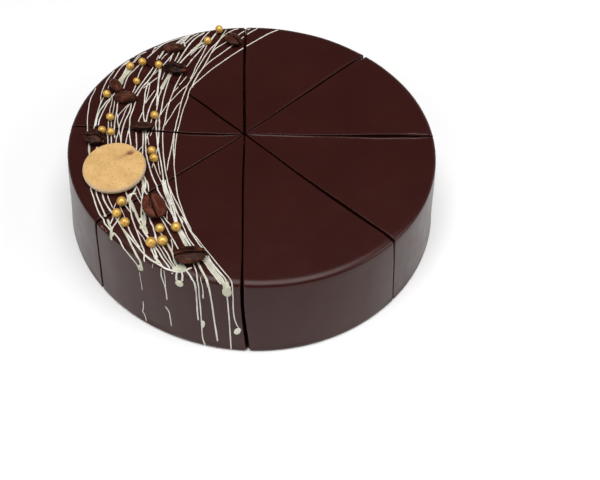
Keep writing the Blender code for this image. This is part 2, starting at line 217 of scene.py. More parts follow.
    (1.2, ((-51.6, 47.9), (-53.0, 44.0), (-54.4, 39.4), (-55.5, 35.0))),
    (0.75, ((-51.1, 45.3), (-51.7, 40.3), (-52.3, 35.5), (-52.8, 29.9), (-53.1, 25.3), (-53.2, 20.7), (-53.3, 16.9), (-53.7, 12.7), (-53.8, 9.4), (-53.2, 5.1), (-52.7, 0.8))),
    (0.8, ((-53.8, 41.1), (-54.6, 36.2), (-55.2, 31.4), (-55.8, 27.5), (-55.7, 23.6), (-55.8, 19.8), (-55.8, 16.4))),
    (0.8, ((-57.0, 53.4), (-56.9, 48.0), (-57.2, 43.0), (-57.2, 37.3), (-57.1, 32.9), (-57.5, 29.4), (-58.4, 25.9), (-59.5, 21.2), (-60.2, 16.3), (-60.5, 12.2), (-60.6, 7.8))),
    (0.55, ((-57.7, 45.6), (-59.9, 42.9), (-61.9, 40.0), (-63.7, 37.5), (-65.3, 35.4))),
    (0.75, ((-61.6, 54.7), (-63.0, 50.2), (-64.6, 45.6), (-66.2, 41.1), (-67.9, 36.2), (-69.2, 32.0))),
    (0.85, ((-59.7, 53.3), (-60.8, 49.1), (-62.2, 44.9), (-63.8, 40.7), (-65.7, 37.0), (-67.0, 33.0), (-67.8, 29.8))),
    (0.4, ((-57.8, 53.4), (-59.6, 49.9), (-60.7, 47.8))),
    (0.8, ((-63.0, 40.8), (-63.5, 35.9), (-63.8, 31.1), (-63.5, 26.5), (-63.3, 21.9), (-63.3, 17.3), (-62.4, 11.0), (-61.6, 7.7))),
    (0.6, ((-62.0, 40.8), (-62.0, 36.8), (-62.1, 31.6), (-62.5, 26.1), (-62.9, 22.7))),
    (0.5, ((-58.5, 33.7), (-59.9, 30.1), (-61.3, 26.5), (-62.6, 22.3))),
    (0.65, ((-63.5, 14.7), (-64.1, 11.3), (-64.7, 7.7))),
    (0.6, ((-61.6, 7.7), (-60.6, 7.8))),
    (0.6, ((-69.8, 38.9), (-70.1, 35.7), (-70.6, 32.9))),
    (0.5, ((-67.8, 56.0), (-68.8, 50.9), (-69.4, 46.7), (-69.5, 44.6))),
    (0.5, ((-57.8, 9.7), (-58.0, 6.4))),
    (0.4, ((-55.9, 2.9), (-56.7, 0.7))),
    (0.8, ((-82.3, -43.4), (-80.4, -48.1), (-78.5, -53.1), (-76.9, -56.8), (-75.3, -59.9), (-73.4, -62.3), (-72.4, -64.8), (-70.4, -67.3), (-69.1, -69.2))),
    (0.8, ((-79.2, -46.1), (-77.8, -49.6), (-75.9, -53.6), (-74.0, -57.6), (-72.6, -60.4))),
    (1, ((-75.5, -48.7), (-74.0, -51.9), (-72.0, -55.3), (-70.6, -57.3))),
    (0.6, ((-73.1, -48.6), (-71.5, -52.1), (-70.1, -55.0))),
    (0.5, ((-68.8, -51.8), (-69.2, -53.8), (-69.4, -55.3))),
    (1, ((-71.5, -62.3), (-70.6, -64.5), (-69.6, -66.7), (-68.7, -68.8))),
    (0.8, ((-68.9, -61.4), (-69.4, -63.6), (-69.8, -65.6))),
    (1.5, ((-71.4, -62.4), (-69.9, -66.0), (-68.7, -68.9), (-68.8, -72.0), (-69.0, -74.3))),
    (1, ((-66.9, -63.9), (-68.2, -67.0), (-68.6, -69.3), (-68.4, -72.4))),
    (1.2, ((-67.1, -62.2), (-65.6, -64.4), (-63.6, -67.9), (-61.0, -72.4), (-58.5, -77.3), (-56.2, -81.8), (-55.0, -85.6), (-56.2, -89.9), (-57.4, -92.1))),
    (0.8, ((-67.3, -70.4), (-65.6, -72.6), (-63.9, -75.1), (-62.5, -78.7), (-60.4, -84.0), (-59.0, -88.4), (-59.5, -91.8))),
    (1, ((-63.6, -67.9), (-60.4, -72.0), (-57.5, -75.9), (-54.8, -79.3), (-51.7, -83.0), (-48.8, -85.8), (-45.6, -88.0), (-44.0, -89.0), (-41.2, -90.9), (-38.3, -92.0), (-36.2, -92.6))),
    (0.85, ((-61.4, -66.4), (-59.3, -70.9), (-56.4, -75.9), (-54.0, -79.3))),
    (0.8, ((-64.2, -46.8), (-62.6, -51.3), (-61.4, -55.9), (-60.0, -61.2), (-57.8, -66.9), (-55.7, -71.9), (-53.4, -77.9), (-51.8, -82.1), (-51.9, -87.0))),
    (1.1, ((-61.0, -44.6), (-62.0, -46.7), (-62.3, -49.7), (-60.7, -53.7), (-59.0, -57.2), (-57.4, -60.5), (-56.8, -62.7), (-55.2, -65.7), (-54.0, -68.5), (-52.5, -71.2), (-51.2, -73.0))),
    (1.5, ((-55.0, -59.6), (-54.5, -62.4), (-53.7, -65.7), (-52.5, -68.7), (-51.4, -71.4))),
    (0.5, ((-56.5, -68.8), (-55.0, -71.2), (-53.5, -73.0), (-52.0, -75.7))),
    (0.8, ((-48.6, -80.1), (-47.5, -83.0), (-46.6, -85.3), (-44.4, -87.7))),
    (0.6, ((-47.4, -80.1), (-46.3, -82.7), (-45.2, -85.3))),
    (0.6, ((-50.5, -64.0), (-49.1, -66.8), (-48.3, -70.6), (-47.3, -72.7))),
    (0.6, ((-63.2, -54.9), (-61.6, -57.2), (-60.4, -58.3))),
    (0.5, ((-60.4, -45.5), (-58.8, -48.5), (-57.1, -51.4), (-56.3, -52.5))),
    (0.6, ((-59.2, -42.8), (-57.9, -46.1), (-56.7, -49.0))),
    (0.9, ((-57.1, -39.8), (-57.1, -43.4), (-56.6, -46.7), (-56.5, -50.8), (-56.1, -53.7), (-55.9, -58.0), (-55.0, -62.2), (-54.3, -66.4))),
    (0.8, ((-56.7, -39.1), (-56.1, -42.5), (-54.9, -45.5), (-53.4, -46.9))),
    (0.7, ((-55.9, -36.7), (-54.8, -38.8), (-54.2, -41.8), (-53.7, -44.5))),
    (0.7, ((-52.9, -46.6), (-54.7, -47.5), (-56.1, -49.0))),
    (1.3, ((-55.8, -55.1), (-54.4, -58.0), (-53.5, -62.2), (-53.3, -66.4))),
    (0.5, ((-66.8, -53.8), (-65.5, -56.6), (-64.1, -59.5), (-63.5, -61.1))),
    (0.8, ((-45.8, -61.9), (-44.2, -64.7), (-42.7, -67.7), (-40.6, -72.0), (-38.5, -75.8), (-36.7, -79.3))),
    (0.6, ((-40.1, -74.3), (-39.2, -78.0), (-39.0, -81.8), (-38.4, -84.0))),
    (0.5, ((-49.2, -68.1), (-47.5, -72.4))),
    (0.8, ((-45.6, -70.5), (-44.5, -72.0))),
    (0.9, ((-47.1, -79.0), (-45.0, -82.1), (-42.9, -85.8), (-40.5, -89.1), (-39.2, -91.2))),
    (0.6, ((-45.3, -78.8), (-42.9, -82.9), (-40.5, -86.9), (-37.8, -90.5))),
    (0.8, ((-43.0, -79.7), (-40.8, -83.2), (-39.0, -87.2), (-36.6, -90.9))),
    (0.8, ((-48.6, -80.7), (-46.5, -84.7), (-44.1, -87.7), (-42.1, -90.9))),
    (0.6, ((-47.6, -80.3), (-46.3, -83.6), (-45.5, -86.2))),
    (1.3, ((-41.8, -76.9), (-39.9, -80.3), (-38.4, -83.6), (-37.2, -87.6), (-35.5, -90.5))),
    (2, ((-36.7, -91.4), (-35.2, -90.9), (-33.4, -91.5), (-32.0, -91.7))),
    (1.2, ((-38.3, -92.0), (-36.2, -92.5), (-34.2, -92.8), (-32.5, -92.4))),
    (1.1, ((-35.7, -92.6), (-37.0, -95.4), (-38.1, -98.6))),
    (1.1, ((-33.8, -92.7), (-33.5, -94.9), (-34.9, -98.2))),
    (1.1, ((-36.8, -70.0), (-35.4, -73.1), (-33.9, -76.5), (-32.6, -78.6))),
    (1, ((-35.4, -69.6), (-33.3, -73.4), (-31.2, -77.2))),
    (0.7, ((-44.5, -61.1), (-42.8, -63.6), (-41.2, -65.5))),
    (0.5, ((-43.4, -56.8), (-43.4, -59.9), (-43.0, -62.2))),
    (0.8, ((-50.7, -64.2), (-49.3, -67.0), (-48.1, -70.5), (-47.7, -72.5))),
    (1, ((-47.7, -36.4), (-46.7, -40.0), (-45.7, -43.7), (-44.3, -47.2), (-42.9, -50.2), (-41.3, -53.3), (-40.2, -56.5), (-39.3, -59.9), (-38.4, -62.7))),
    (0.9, ((-46.4, -36.3), (-45.6, -40.3), (-44.6, -43.3), (-43.5, -46.3), (-42.3, -49.6), (-40.9, -53.1))),
    (0.7, ((-40.9, -53.1), (-39.3, -56.8), (-37.8, -59.6), (-36.3, -61.9), (-35.3, -64.4))),
    (0.8, ((-36.2, -60.4), (-34.5, -63.2), (-33.0, -66.3))),
    (0.85, ((-26.4, -88.7), (-23.9, -93.9), (-21.8, -97.9), (-22.1, -103.5), (-22.9, -112.6), (-23.9, -123.0), (-24.5, -131.4), (-25.1, -140.9))),
    (0.7, ((-28.4, -89.3), (-26.8, -94.4), (-26.9, -100.0), (-28.9, -109.0), (-30.8, -118.3), (-32.9, -128.1), (-35.0, -138.5), (-34.7, -144.6))),
    (1.3, ((-31.3, -125.4), (-31.3, -127.5), (-32.9, -130.4))),
    (0.75, ((-31.6, -92.3), (-29.0, -96.5), (-28.5, -100.2), (-29.6, -105.2), (-31.3, -112.1), (-32.9, -118.4), (-34.2, -124.9))),
    (0.5, ((-25.0, -95.7), (-25.0, -99.6), (-25.7, -104.2), (-26.8, -109.5))),
    (0.7, ((-26.5, -106.8), (-27.0, -109.5))),
    (0.7, ((-13.9, -107.6), (-14.5, -116.3), (-15.1, -125.5), (-15.8, -135.0), (-16.5, -145.0), (-16.7, -149.5))),
    (0.6, ((-10.8, -103.5), (-11.1, -108.7), (-11.8, -116.3), (-11.9, -123.0), (-11.0, -128.0), (-9.9, -130.5))),
    (2.2, ((-12.5, -134.7), (-10.9, -132.8), (-9.5, -131.5))),
    (0.6, ((-43.5, -90.5), (-45.8, -95.0), (-46.6, -99.2), (-47.3, -102.9), (-48.7, -107.3), (-50.1, -110.9))),
    (0.45, ((-42.6, -91.9), (-44.5, -97.1), (-47.1, -102.9))),
    (0.55, ((-53.6, -115.4), (-52.7, -119.2), (-53.7, -123.4), (-55.6, -129.4))),
    (0.35, ((-60.2, -93.0), (-62.3, -97.0), (-64.2, -101.2), (-66.0, -104.3))),
    (0.45, ((-70.4, -111.6), (-72.9, -115.8), (-75.3, -118.0), (-75.2, -120.9), (-76.6, -125.7))),
    (0.3, ((-47.4, -88.2), (-49.2, -90.6))),
    (0.9, ((-27.0, -146.4), (-26.9, -147.6))),
    (2, ((-24.2, -85.0), (-21.9, -89.0), (-19.0, -93.3), (-16.3, -97.1), (-14.5, -99.5), (-13.8, -102.5))),
    (0.9, ((-22.2, -84.0), (-20.4, -87.6), (-17.2, -92.2), (-14.6, -95.8), (-12.6, -99.2), (-12.5, -102.0))),
    (1.3, ((-26.8, -87.9), (-24.1, -93.5), (-22.2, -97.5), (-22.1, -102.1))),
    (1, ((-32.0, -91.8), (-29.6, -95.3), (-28.6, -99.2), (-29.5, -104.4))),
    (2.0, ((-63.3, -48.7), (-62.2, -51.0), (-60.6, -54.2), (-59.0, -57.7))),
    (1.6, ((-62.0, -50.4), (-60.1, -54.6), (-58.3, -58.8), (-56.7, -62.8))),
    (1.3, ((-63.5, -49.7), (-63.3, -47.4), (-62.1, -46.1), (-59.7, -45.6))),
    (1.6, ((-57.5, -37.5), (-56.8, -40.3), (-56.5, -43.3), (-56.6, -46.3))),
    (1.2, ((-56.1, -37.2), (-55.8, -40.9), (-56.0, -44.7))),
    (1.7, ((-51.7, 48.4), (-52.5, 44.2), (-53.7, 38.6), (-54.7, 34.5))),
    (1.0, ((-57.7, 56.2), (-57.4, 46.8), (-57.0, 37.6), (-56.6, 28.8), (-56.1, 20.2))),
    (2.1, ((-74.4, 52.7), (-75.5, 50.0), (-77.1, 46.4), (-78.1, 42.7))),
    (0.9, ((-24.6, 93.2), (-26.5, 89.0), (-28.3, 84.3))),
    (0.8, ((-41.9, 88.2), (-45.0, 82.0), (-47.2, 78.4))),
    (0.8, ((-39.5, 89.6), (-44.4, 86.1), (-48.9, 80.4))),
    (1.7, ((-37.5, -68.5), (-36.0, -71.2), (-34.3, -74.8), (-32.6, -78.1))),
    (0.9, ((-36.5, -68.5), (-34.8, -71.6), (-32.7, -75.2), (-30.9, -78.2))),
    (1.1, ((-45.7, -41.8), (-43.8, -48.5), (-41.7, -55.6), (-39.4, -62.9))),
    (1.5, ((-76.1, 50.7), (-77.9, 46.6), (-79.2, 41.9))),
]
WIDTH_GAIN = 0.84

# Thicker spots of icing: place on the skin in mm, half width, half length down
# the slope, height, turn in degrees
SPOTS = [
    (-57.6, -90.4, 1.40, 1.90, 0.90, -8), (-37.0, -99.6, 2.20, 2.00, 1.05, 10),
    (-13.6, -104.4, 2.40, 3.05, 1.35, -8), (-13.2, -101.8, 2.00, 2.20, 1.05, 14),
    (-32.0, -127.8, 0.85, 2.60, 0.60, 0), (-11.0, -132.9, 1.60, 2.60, 1.10, 22),
    (-36.0, -91.2, 2.40, 1.40, 0.50, -10), (-34.0, -89.8, 1.90, 1.30, 0.45, 0),
    (-26.9, -147.1, 0.45, 0.55, 0.30, 0), (-38.5, -93.4, 0.45, 0.45, 0.25, 0),
    (-68.1, -71.5, 1.00, 1.60, 0.50, 0), (-81.9, -9.0, 0.55, 0.55, 0.25, 0),
    (-72.9, -60.1, 0.75, 0.75, 0.35, 0), (-75.9, 52.4, 1.50, 1.30, 0.55, 20),
    (-33.8, 79.8, 1.50, 1.10, 0.50, 30), (-83.9, -13.9, 0.70, 0.60, 0.30, 10),
    (-54.4, -66.6, 1.25, 1.90, 0.60, -20), (-55.8, -62.4, 0.80, 1.50, 0.50, -12),
    (-34.6, -91.8, 1.70, 0.90, 0.60, 0), (-45.4, -87.6, 1.10, 0.80, 0.45, 30),
    (-13.1, -99.4, 1.10, 1.50, 0.60, -20),
]

# Crumbs: place on the skin in mm, size in mm, 0 pale and 1 red-brown
CRUMBS = [
    (-73.5, -66.7, 0.75, 0.35), (-72.6, -67.6, 0.60, 0.45), (-71.6, -68.5, 0.50, 0.55),
    (-71.3, -69.4, 0.45, 0.10), (-74.4, -65.8, 0.45, 0.60), (-15.1, -97.4, 0.34, 0.95),
    (-12.4, -98.5, 0.36, 1.00), (-9.6, -99.6, 0.30, 0.90), (-13.9, -99.0, 0.24, 0.85),
    (85.5, 2.3, 0.40, 0.90), (89.2, 2.4, 0.34, 0.80), (93.4, 2.5, 0.36, 0.85),
    (-7.4, -100.0, 0.28, 0.95), (96.4, 3.0, 0.34, 0.70),
]


# ------------------------------------------------------------ small helpers
def link(obj):
    bpy.context.scene.collection.objects.link(obj)
    return obj


def mesh_object(name, verts, faces, mats, face_mats=None, sharp=None):
    mesh = bpy.data.meshes.new(name)
    mesh.from_pydata([tuple(v) for v in verts], [], faces)
    for m in mats:
        mesh.materials.append(m)
    if face_mats:
        mesh.polygons.foreach_set("material_index", face_mats)
    mesh.validate()
    bm = bmesh.new()
    bm.from_mesh(mesh)
    bmesh.ops.recalc_face_normals(bm, faces=bm.faces[:])
    bm.to_mesh(mesh)
    bm.free()
    mesh.shade_smooth()
    if sharp is not None:
        mesh.set_sharp_from_angle(angle=math.radians(sharp))
    mesh.update()
    return link(bpy.data.objects.new(name, mesh))


def tree(name):
    mat = bpy.data.materials.new(name)
    mat.use_nodes = True
    nt = mat.node_tree
    return mat, nt, nt.nodes["Principled BSDF"]


def add(nt, kind, inputs=None, **props):
    n = nt.nodes.new(kind)
    for k, v in props.items():
        setattr(n, k, v)
    for k, v in (inputs or {}).items():
        if isinstance(v, bpy.types.NodeSocket):
            nt.links.new(v, n.inputs[k])
        else:
            n.inputs[k].default_value = v
    return n


def lin(rgb):
    """sRGB 0-255 to linear."""
    out = []
    for c in rgb:
        c = c / 255.0
        out.append(c / 12.92 if c <= 0.04045 else ((c + 0.055) / 1.055) ** 2.4)
    return (out[0], out[1], out[2], 1.0)


def ramp(nt, fac, stops, interpolation="LINEAR"):
    n = add(nt, "ShaderNodeValToRGB", {"Fac": fac})
    n.color_ramp.interpolation = interpolation
    els = n.color_ramp.elements
    while len(els) < len(stops):
        els.new(0.5)
    for e, (p, c) in zip(els, stops):
        e.position = p
        e.color = c if len(c) == 4 else (c[0], c[1], c[2], 1.0)
    return n


def noise_tex(nt, coord, scale, detail=3.0, rough=0.5, distort=0.0):
    return add(nt, "ShaderNodeTexNoise",
               {"Vector": coord, "Scale": scale, "Detail": detail,
                "Roughness": rough, "Distortion": distort})


def bump(nt, height, strength, distance, normal=None):
    ins = {"Height": height, "Strength": strength, "Distance": distance}
    if normal is not None:
        ins["Normal"] = normal
    return add(nt, "ShaderNodeBump", ins)


def grey(v):
    return (v, v, v, 1.0)


# ---------------------------------------------------------------- materials
def glaze_material():
    mat, nt, b = tree("glaze_look")
    co = add(nt, "ShaderNodeTexCoord").outputs["Object"]
    broad = noise_tex(nt, co, 26.0, 2.0, 0.5)
    fine = noise_tex(nt, co, 900.0, 2.0, 0.6)
    soft = noise_tex(nt, co, 120.0, 3.0, 0.55)
    col = ramp(nt, broad.outputs["Fac"], [
        (0.30, (0.0295, 0.0058, 0.0048)), (0.70, (0.0340, 0.0070, 0.0058))])
    speck = ramp(nt, fine.outputs["Fac"], [(0.70, grey(0.0)), (0.80, grey(1.0))])
    mix = add(nt, "ShaderNodeMix", data_type="RGBA")
    nt.links.new(speck.outputs["Color"], mix.inputs["Factor"])
    nt.links.new(col.outputs["Color"], mix.inputs["A"])
    mix.inputs["B"].default_value = (0.044, 0.0105, 0.0085, 1.0)
    nt.links.new(mix.outputs["Result"], b.inputs["Base Color"])
    rough = ramp(nt, soft.outputs["Fac"], [(0.25, grey(0.27)), (0.75, grey(0.34))])
    nt.links.new(rough.outputs["Color"], b.inputs["Roughness"])
    b1 = bump(nt, soft.outputs["Fac"], 0.10, 0.0004)
    b2 = bump(nt, fine.outputs["Fac"], 0.05, 0.00006, b1.outputs["Normal"])
    nt.links.new(b2.outputs["Normal"], b.inputs["Normal"])
    b.inputs["IOR"].default_value = 1.34
    b.inputs["Specular Tint"].default_value = (1.0, 0.88, 0.84, 1.0)
    return mat


def cake_material(name, base, dark, light, rough, pore_scale, pore_depth):
    """Sponge, mousse and crumb on the cut faces: mottled, with open pores whose pits are painted dark as shade."""
    mat, nt, b = tree(name)
    co = add(nt, "ShaderNodeTexCoord").outputs["Object"]
    mott = noise_tex(nt, co, pore_scale * 0.35, 4.0, 0.6)
    cells = add(nt, "ShaderNodeTexVoronoi", {"Vector": co, "Scale": pore_scale})
    col = ramp(nt, mott.outputs["Fac"], [(0.3, lin(dark)), (0.5, lin(base)), (0.72, lin(light))])
    # the dark tone painted into the pore centres is painted shade in the pits; the same mask sinks them
    pore_pit_shade = ramp(nt, cells.outputs["Distance"], [(0.0, grey(0.0)), (0.45, grey(1.0))])
    mix = add(nt, "ShaderNodeMix", data_type="RGBA")
    nt.links.new(pore_pit_shade.outputs["Color"], mix.inputs["Factor"])
    mix.inputs["A"].default_value = lin(dark)
    nt.links.new(col.outputs["Color"], mix.inputs["B"])
    nt.links.new(mix.outputs["Result"], b.inputs["Base Color"])
    b.inputs["Roughness"].default_value = rough
    b1 = bump(nt, pore_pit_shade.outputs["Color"], 0.6, pore_depth)
    b2 = bump(nt, mott.outputs["Fac"], 0.4, pore_depth, b1.outputs["Normal"])
    nt.links.new(b2.outputs["Normal"], b.inputs["Normal"])
    return mat


def icing_material():
    mat, nt, b = tree("icing_look")
    co = add(nt, "ShaderNodeTexCoord").outputs["Object"]
    n1 = noise_tex(nt, co, 160.0, 3.0, 0.5)
    n2 = noise_tex(nt, co, 1400.0, 2.0, 0.5)
    col = ramp(nt, n1.outputs["Fac"], [
        (0.30, lin((200, 196, 184))), (0.52, lin((223, 219, 209))), (0.75, lin((237, 233, 227)))])
    # wider threads and dabs are painted darker and yellower: painted shade
    painted_shade_fac = add(nt, "ShaderNodeAttribute", attribute_name="icing_painted_shade").outputs["Fac"]
    dim = add(nt, "ShaderNodeMix", data_type="RGBA", blend_type="MULTIPLY")
    nt.links.new(painted_shade_fac, dim.inputs["Factor"])
    nt.links.new(col.outputs["Color"], dim.inputs["A"])
    dim.inputs["B"].default_value = (0.76, 0.78, 0.66, 1.0)
    nt.links.new(dim.outputs["Result"], b.inputs["Base Color"])
    r = ramp(nt, n2.outputs["Fac"], [(0.3, grey(0.34)), (0.7, grey(0.48))])
    nt.links.new(r.outputs["Color"], b.inputs["Roughness"])
    b1 = bump(nt, n2.outputs["Fac"], 0.12, 0.00015)
    nt.links.new(b1.outputs["Normal"], b.inputs["Normal"])
    b.inputs["Subsurface Weight"].default_value = 0.12
    b.inputs["Subsurface Radius"].default_value = (0.0012, 0.0009, 0.0006)
    b.inputs["Subsurface Scale"].default_value = 0.5
    return mat


def pearl_material():
    mat, nt, b = tree("pearl_look")
    co = add(nt, "ShaderNodeTexCoord").outputs["Object"]
    n1 = noise_tex(nt, co, 420.0, 3.0, 0.6)
    n2 = noise_tex(nt, co, 5200.0, 2.0, 0.5)
    col = ramp(nt, n1.outputs["Fac"], [
        (0.28, (0.56, 0.310, 0.060)), (0.55, (0.77, 0.455, 0.105)), (0.80, (0.88, 0.590, 0.180))])
    nt.links.new(col.outputs["Color"], b.inputs["Base Color"])
    b.inputs["Metallic"].default_value = 0.42
    r = ramp(nt, n2.outputs["Fac"], [(0.3, grey(0.30)), (0.7, grey(0.44))])
    nt.links.new(r.outputs["Color"], b.inputs["Roughness"])
    b1 = bump(nt, n2.outputs["Fac"], 0.22, 0.00008)
    nt.links.new(b1.outputs["Normal"], b.inputs["Normal"])
    return mat


def bean_material():
    """Roasted bean: oily, wrinkled, near black where charred, with painted shade in the crease
    and on its underside, and a pale thread of chaff in the crease.  The mesh says where with two painted weights."""
    mat, nt, b = tree("bean_look")
    co = add(nt, "ShaderNodeTexCoord").outputs["Object"]
    weights = add(nt, "ShaderNodeAttribute", attribute_name="bean_tone_and_shade")
    sep = add(nt, "ShaderNodeSeparateColor", {"Color": weights.outputs["Color"]})
    n1 = noise_tex(nt, co, 230.0, 4.0, 0.6, 0.4)
    n2 = noise_tex(nt, co, 1500.0, 3.0, 0.6)
    col = ramp(nt, n1.outputs["Fac"], [
        (0.34, lin((26, 11, 8))), (0.48, lin((56, 29, 22))), (0.66, lin((104, 62, 47)))])
    warm = add(nt, "ShaderNodeMix", data_type="RGBA")
    nt.links.new(sep.outputs["Blue"], warm.inputs["Factor"])
    nt.links.new(col.outputs["Color"], warm.inputs["A"])
    warm.inputs["B"].default_value = lin((104, 50, 33))
    # red weight: char, and painted shade in the crease and underneath
    m1 = add(nt, "ShaderNodeMix", data_type="RGBA")
    nt.links.new(sep.outputs["Red"], m1.inputs["Factor"])
    nt.links.new(warm.outputs["Result"], m1.inputs["A"])
    m1.inputs["B"].default_value = lin((11, 5, 5))
    m2 = add(nt, "ShaderNodeMix", data_type="RGBA")
    nt.links.new(sep.outputs["Green"], m2.inputs["Factor"])
    nt.links.new(m1.outputs["Result"], m2.inputs["A"])
    m2.inputs["B"].default_value = lin((138, 100, 80))
    nt.links.new(m2.outputs["Result"], b.inputs["Base Color"])
    r = ramp(nt, n2.outputs["Fac"], [(0.3, grey(0.27)), (0.7, grey(0.42))])
    nt.links.new(r.outputs["Color"], b.inputs["Roughness"])
    b1 = bump(nt, n1.outputs["Fac"], 0.50, 0.0008)
    b2 = bump(nt, n2.outputs["Fac"], 0.30, 0.00018, b1.outputs["Normal"])
    nt.links.new(b2.outputs["Normal"], b.inputs["Normal"])
    b.inputs["Specular IOR Level"].default_value = 0.13
    b.inputs["Specular Tint"].default_value = (1.0, 0.70, 0.60, 1.0)
    return mat


def biscuit_material():
    mat, nt, b = tree("biscuit_look")
    co = add(nt, "ShaderNodeTexCoord").outputs["Object"]
    weights = add(nt, "ShaderNodeAttribute", attribute_name="toast")
    sep = add(nt, "ShaderNodeSeparateColor", {"Color": weights.outputs["Color"]})
    n1 = noise_tex(nt, co, 130.0, 4.0, 0.55)
    n2 = noise_tex(nt, co, 820.0, 3.0, 0.65)
    pores = add(nt, "ShaderNodeTexVoronoi", {"Vector": co, "Scale": 620.0, "Randomness": 1.0})
    col = ramp(nt, n1.outputs["Fac"], [
        (0.30, lin((199, 159, 98))), (0.50, lin((209, 168, 107))), (0.70, lin((218, 179, 118)))])
    grain = ramp(nt, n2.outputs["Fac"], [(0.36, grey(1.0)), (0.50, grey(0.0))])
    m0 = add(nt, "ShaderNodeMix", data_type="RGBA")
    gm = add(nt, "ShaderNodeMath", {0: grain.outputs["Color"], 1: 0.45}, operation="MULTIPLY")
    nt.links.new(gm.outputs[0], m0.inputs["Factor"])
    nt.links.new(col.outputs["Color"], m0.inputs["A"])
    m0.inputs["B"].default_value = lin((176, 126, 70))
    # small pits, painted darker as shade inside them
    pit_dots_shade = ramp(nt, pores.outputs["Distance"], [(0.10, grey(1.0)), (0.22, grey(0.0))])
    gate = ramp(nt, noise_tex(nt, co, 300.0, 1.0).outputs["Fac"], [(0.52, grey(0.0)), (0.60, grey(0.75))])
    dm = add(nt, "ShaderNodeMath", {0: pit_dots_shade.outputs["Color"], 1: gate.outputs["Color"]}, operation="MULTIPLY")
    m1 = add(nt, "ShaderNodeMix", data_type="RGBA")
    nt.links.new(dm.outputs[0], m1.inputs["Factor"])
    nt.links.new(m0.outputs["Result"], m1.inputs["A"])
    m1.inputs["B"].default_value = lin((150, 98, 52))
    edge = add(nt, "ShaderNodeMix", data_type="RGBA")
    nt.links.new(sep.outputs["Green"], edge.inputs["Factor"])
    nt.links.new(m1.outputs["Result"], edge.inputs["A"])
    edge.inputs["B"].default_value = lin((214, 194, 166))
    toast = add(nt, "ShaderNodeMix", data_type="RGBA")
    nt.links.new(sep.outputs["Red"], toast.inputs["Factor"])
    nt.links.new(edge.outputs["Result"], toast.inputs["A"])
    toast.inputs["B"].default_value = lin((140, 92, 58))
    nt.links.new(toast.outputs["Result"], b.inputs["Base Color"])
    b.inputs["Roughness"].default_value = 0.78
    b1 = bump(nt, n2.outputs["Fac"], 0.35, 0.0002)
    inv = add(nt, "ShaderNodeMath", {0: 1.0, 1: dm.outputs[0]}, operation="SUBTRACT")
    b2 = bump(nt, inv.outputs[0], 0.5, 0.0003, b1.outputs["Normal"])
    nt.links.new(b2.outputs["Normal"], b.inputs["Normal"])
    return mat


def crumb_material():
    mat, nt, b = tree("crumb_look")
    co = add(nt, "ShaderNodeTexCoord").outputs["Object"]
    weights = add(nt, "ShaderNodeAttribute", attribute_name="toast")
    sep = add(nt, "ShaderNodeSeparateColor", {"Color": weights.outputs["Color"]})
    col = ramp(nt, sep.outputs["Red"], [
        (0.0, lin((232, 205, 190))), (0.45, lin((196, 128, 112))), (1.0, lin((128, 46, 38)))])
    n = noise_tex(nt, co, 2600.0, 3.0, 0.6)
    shade = ramp(nt, n.outputs["Fac"], [(0.25, grey(0.55)), (0.75, grey(1.0))])
    mul = add(nt, "ShaderNodeMix", data_type="RGBA", blend_type="MULTIPLY")
    mul.inputs["Factor"].default_value = 1.0
    nt.links.new(col.outputs["Color"], mul.inputs["A"])
    nt.links.new(shade.outputs["Color"], mul.inputs["B"])
    nt.links.new(mul.outputs["Result"], b.inputs["Base Color"])
    b.inputs["Roughness"].default_value = 0.8
    b1 = bump(nt, n.outputs["Fac"], 0.6, 0.0002)
    nt.links.new(b1.outputs["Normal"], b.inputs["Normal"])
    return mat


def floor_material():
    mat, nt, b = tree("floor_look")
    co = add(nt, "ShaderNodeTexCoord").outputs["Object"]
    n = noise_tex(nt, co, 6.0, 3.0, 0.5)
    col = ramp(nt, n.outputs["Fac"], [(0.3, grey(0.93)), (0.7, grey(0.95))])
    nt.links.new(col.outputs["Color"], b.inputs["Base Color"])
    b.inputs["Roughness"].default_value = 0.7
    return mat


# -------------------------------------------------------------- cake's skin
SIDE_TOP = CAKE_H - RIM
RIM_LEN = math.pi / 2 * math.sqrt((RIM ** 2 + RIM_IN ** 2) / 2)
SIDE_LEN = math.hypot(FOOT_R - TOP_R, SIDE_TOP)
FLAT_R = TOP_R - RIM_IN
SIDE_TILT = math.atan2(FOOT_R - TOP_R, SIDE_TOP)


# the threads were laid out on a rounder rim: how far that moves them, in mm
RIM_SHIFT = ((96.0, 0.0), (97.0, -0.15), (98.0, -0.32), (99.0, -0.42), (100.0, -0.42), (101.0, -0.22), (102.0, -0.10))


def wave_top(x, y):
    """The glaze isn't quite flat, least of all near its edge."""
    r = math.hypot(x, y)
    edge = max(0.0, min(1.0, (r - 0.070) / 0.03))
    return (0.00005 * noise.noise(Vector((x * 30, y * 30, 3.1)))
            + 0.00014 * edge * noise.noise(Vector((x * 42, y * 42, 7.7))))


def wave_side(theta, z):
    """Glaze that ran down the side a little unevenly."""
    c, s = math.cos(theta), math.sin(theta)
    f = max(0.0, min(1.0, (CAKE_H - z) / 0.012))
    return f * (0.00032 * noise.noise(Vector((c * 5.2, s * 5.2, z * 22 + 1.3)))
                + 0.00012 * noise.noise(Vector((c * 16, s * 16, z * 40 + 9.1))))


def bulge(theta):
    """The cake isn't quite round: how far its edge stands out here."""
    def hump(at, wide):
        far = (math.degrees(theta) - at + 180.0) % 360.0 - 180.0
        return math.exp(-(far / wide) ** 2)
    return 0.0013 * hump(-72.0, 34.0) + 0.0007 * hump(176.0, 26.0)


def swell(x, y):
    """Plan place of a point once the edge stands out so."""
    r = math.hypot(x, y)
    f = max(0.0, min(1.0, (r - 0.085) / (FLAT_R - 0.085)))
    if f <= 0.0:
        return Vector((x, y))
    return Vector((x, y)) * (1 + bulge(math.atan2(y, x)) * f * f * (3 - 2 * f) / r)


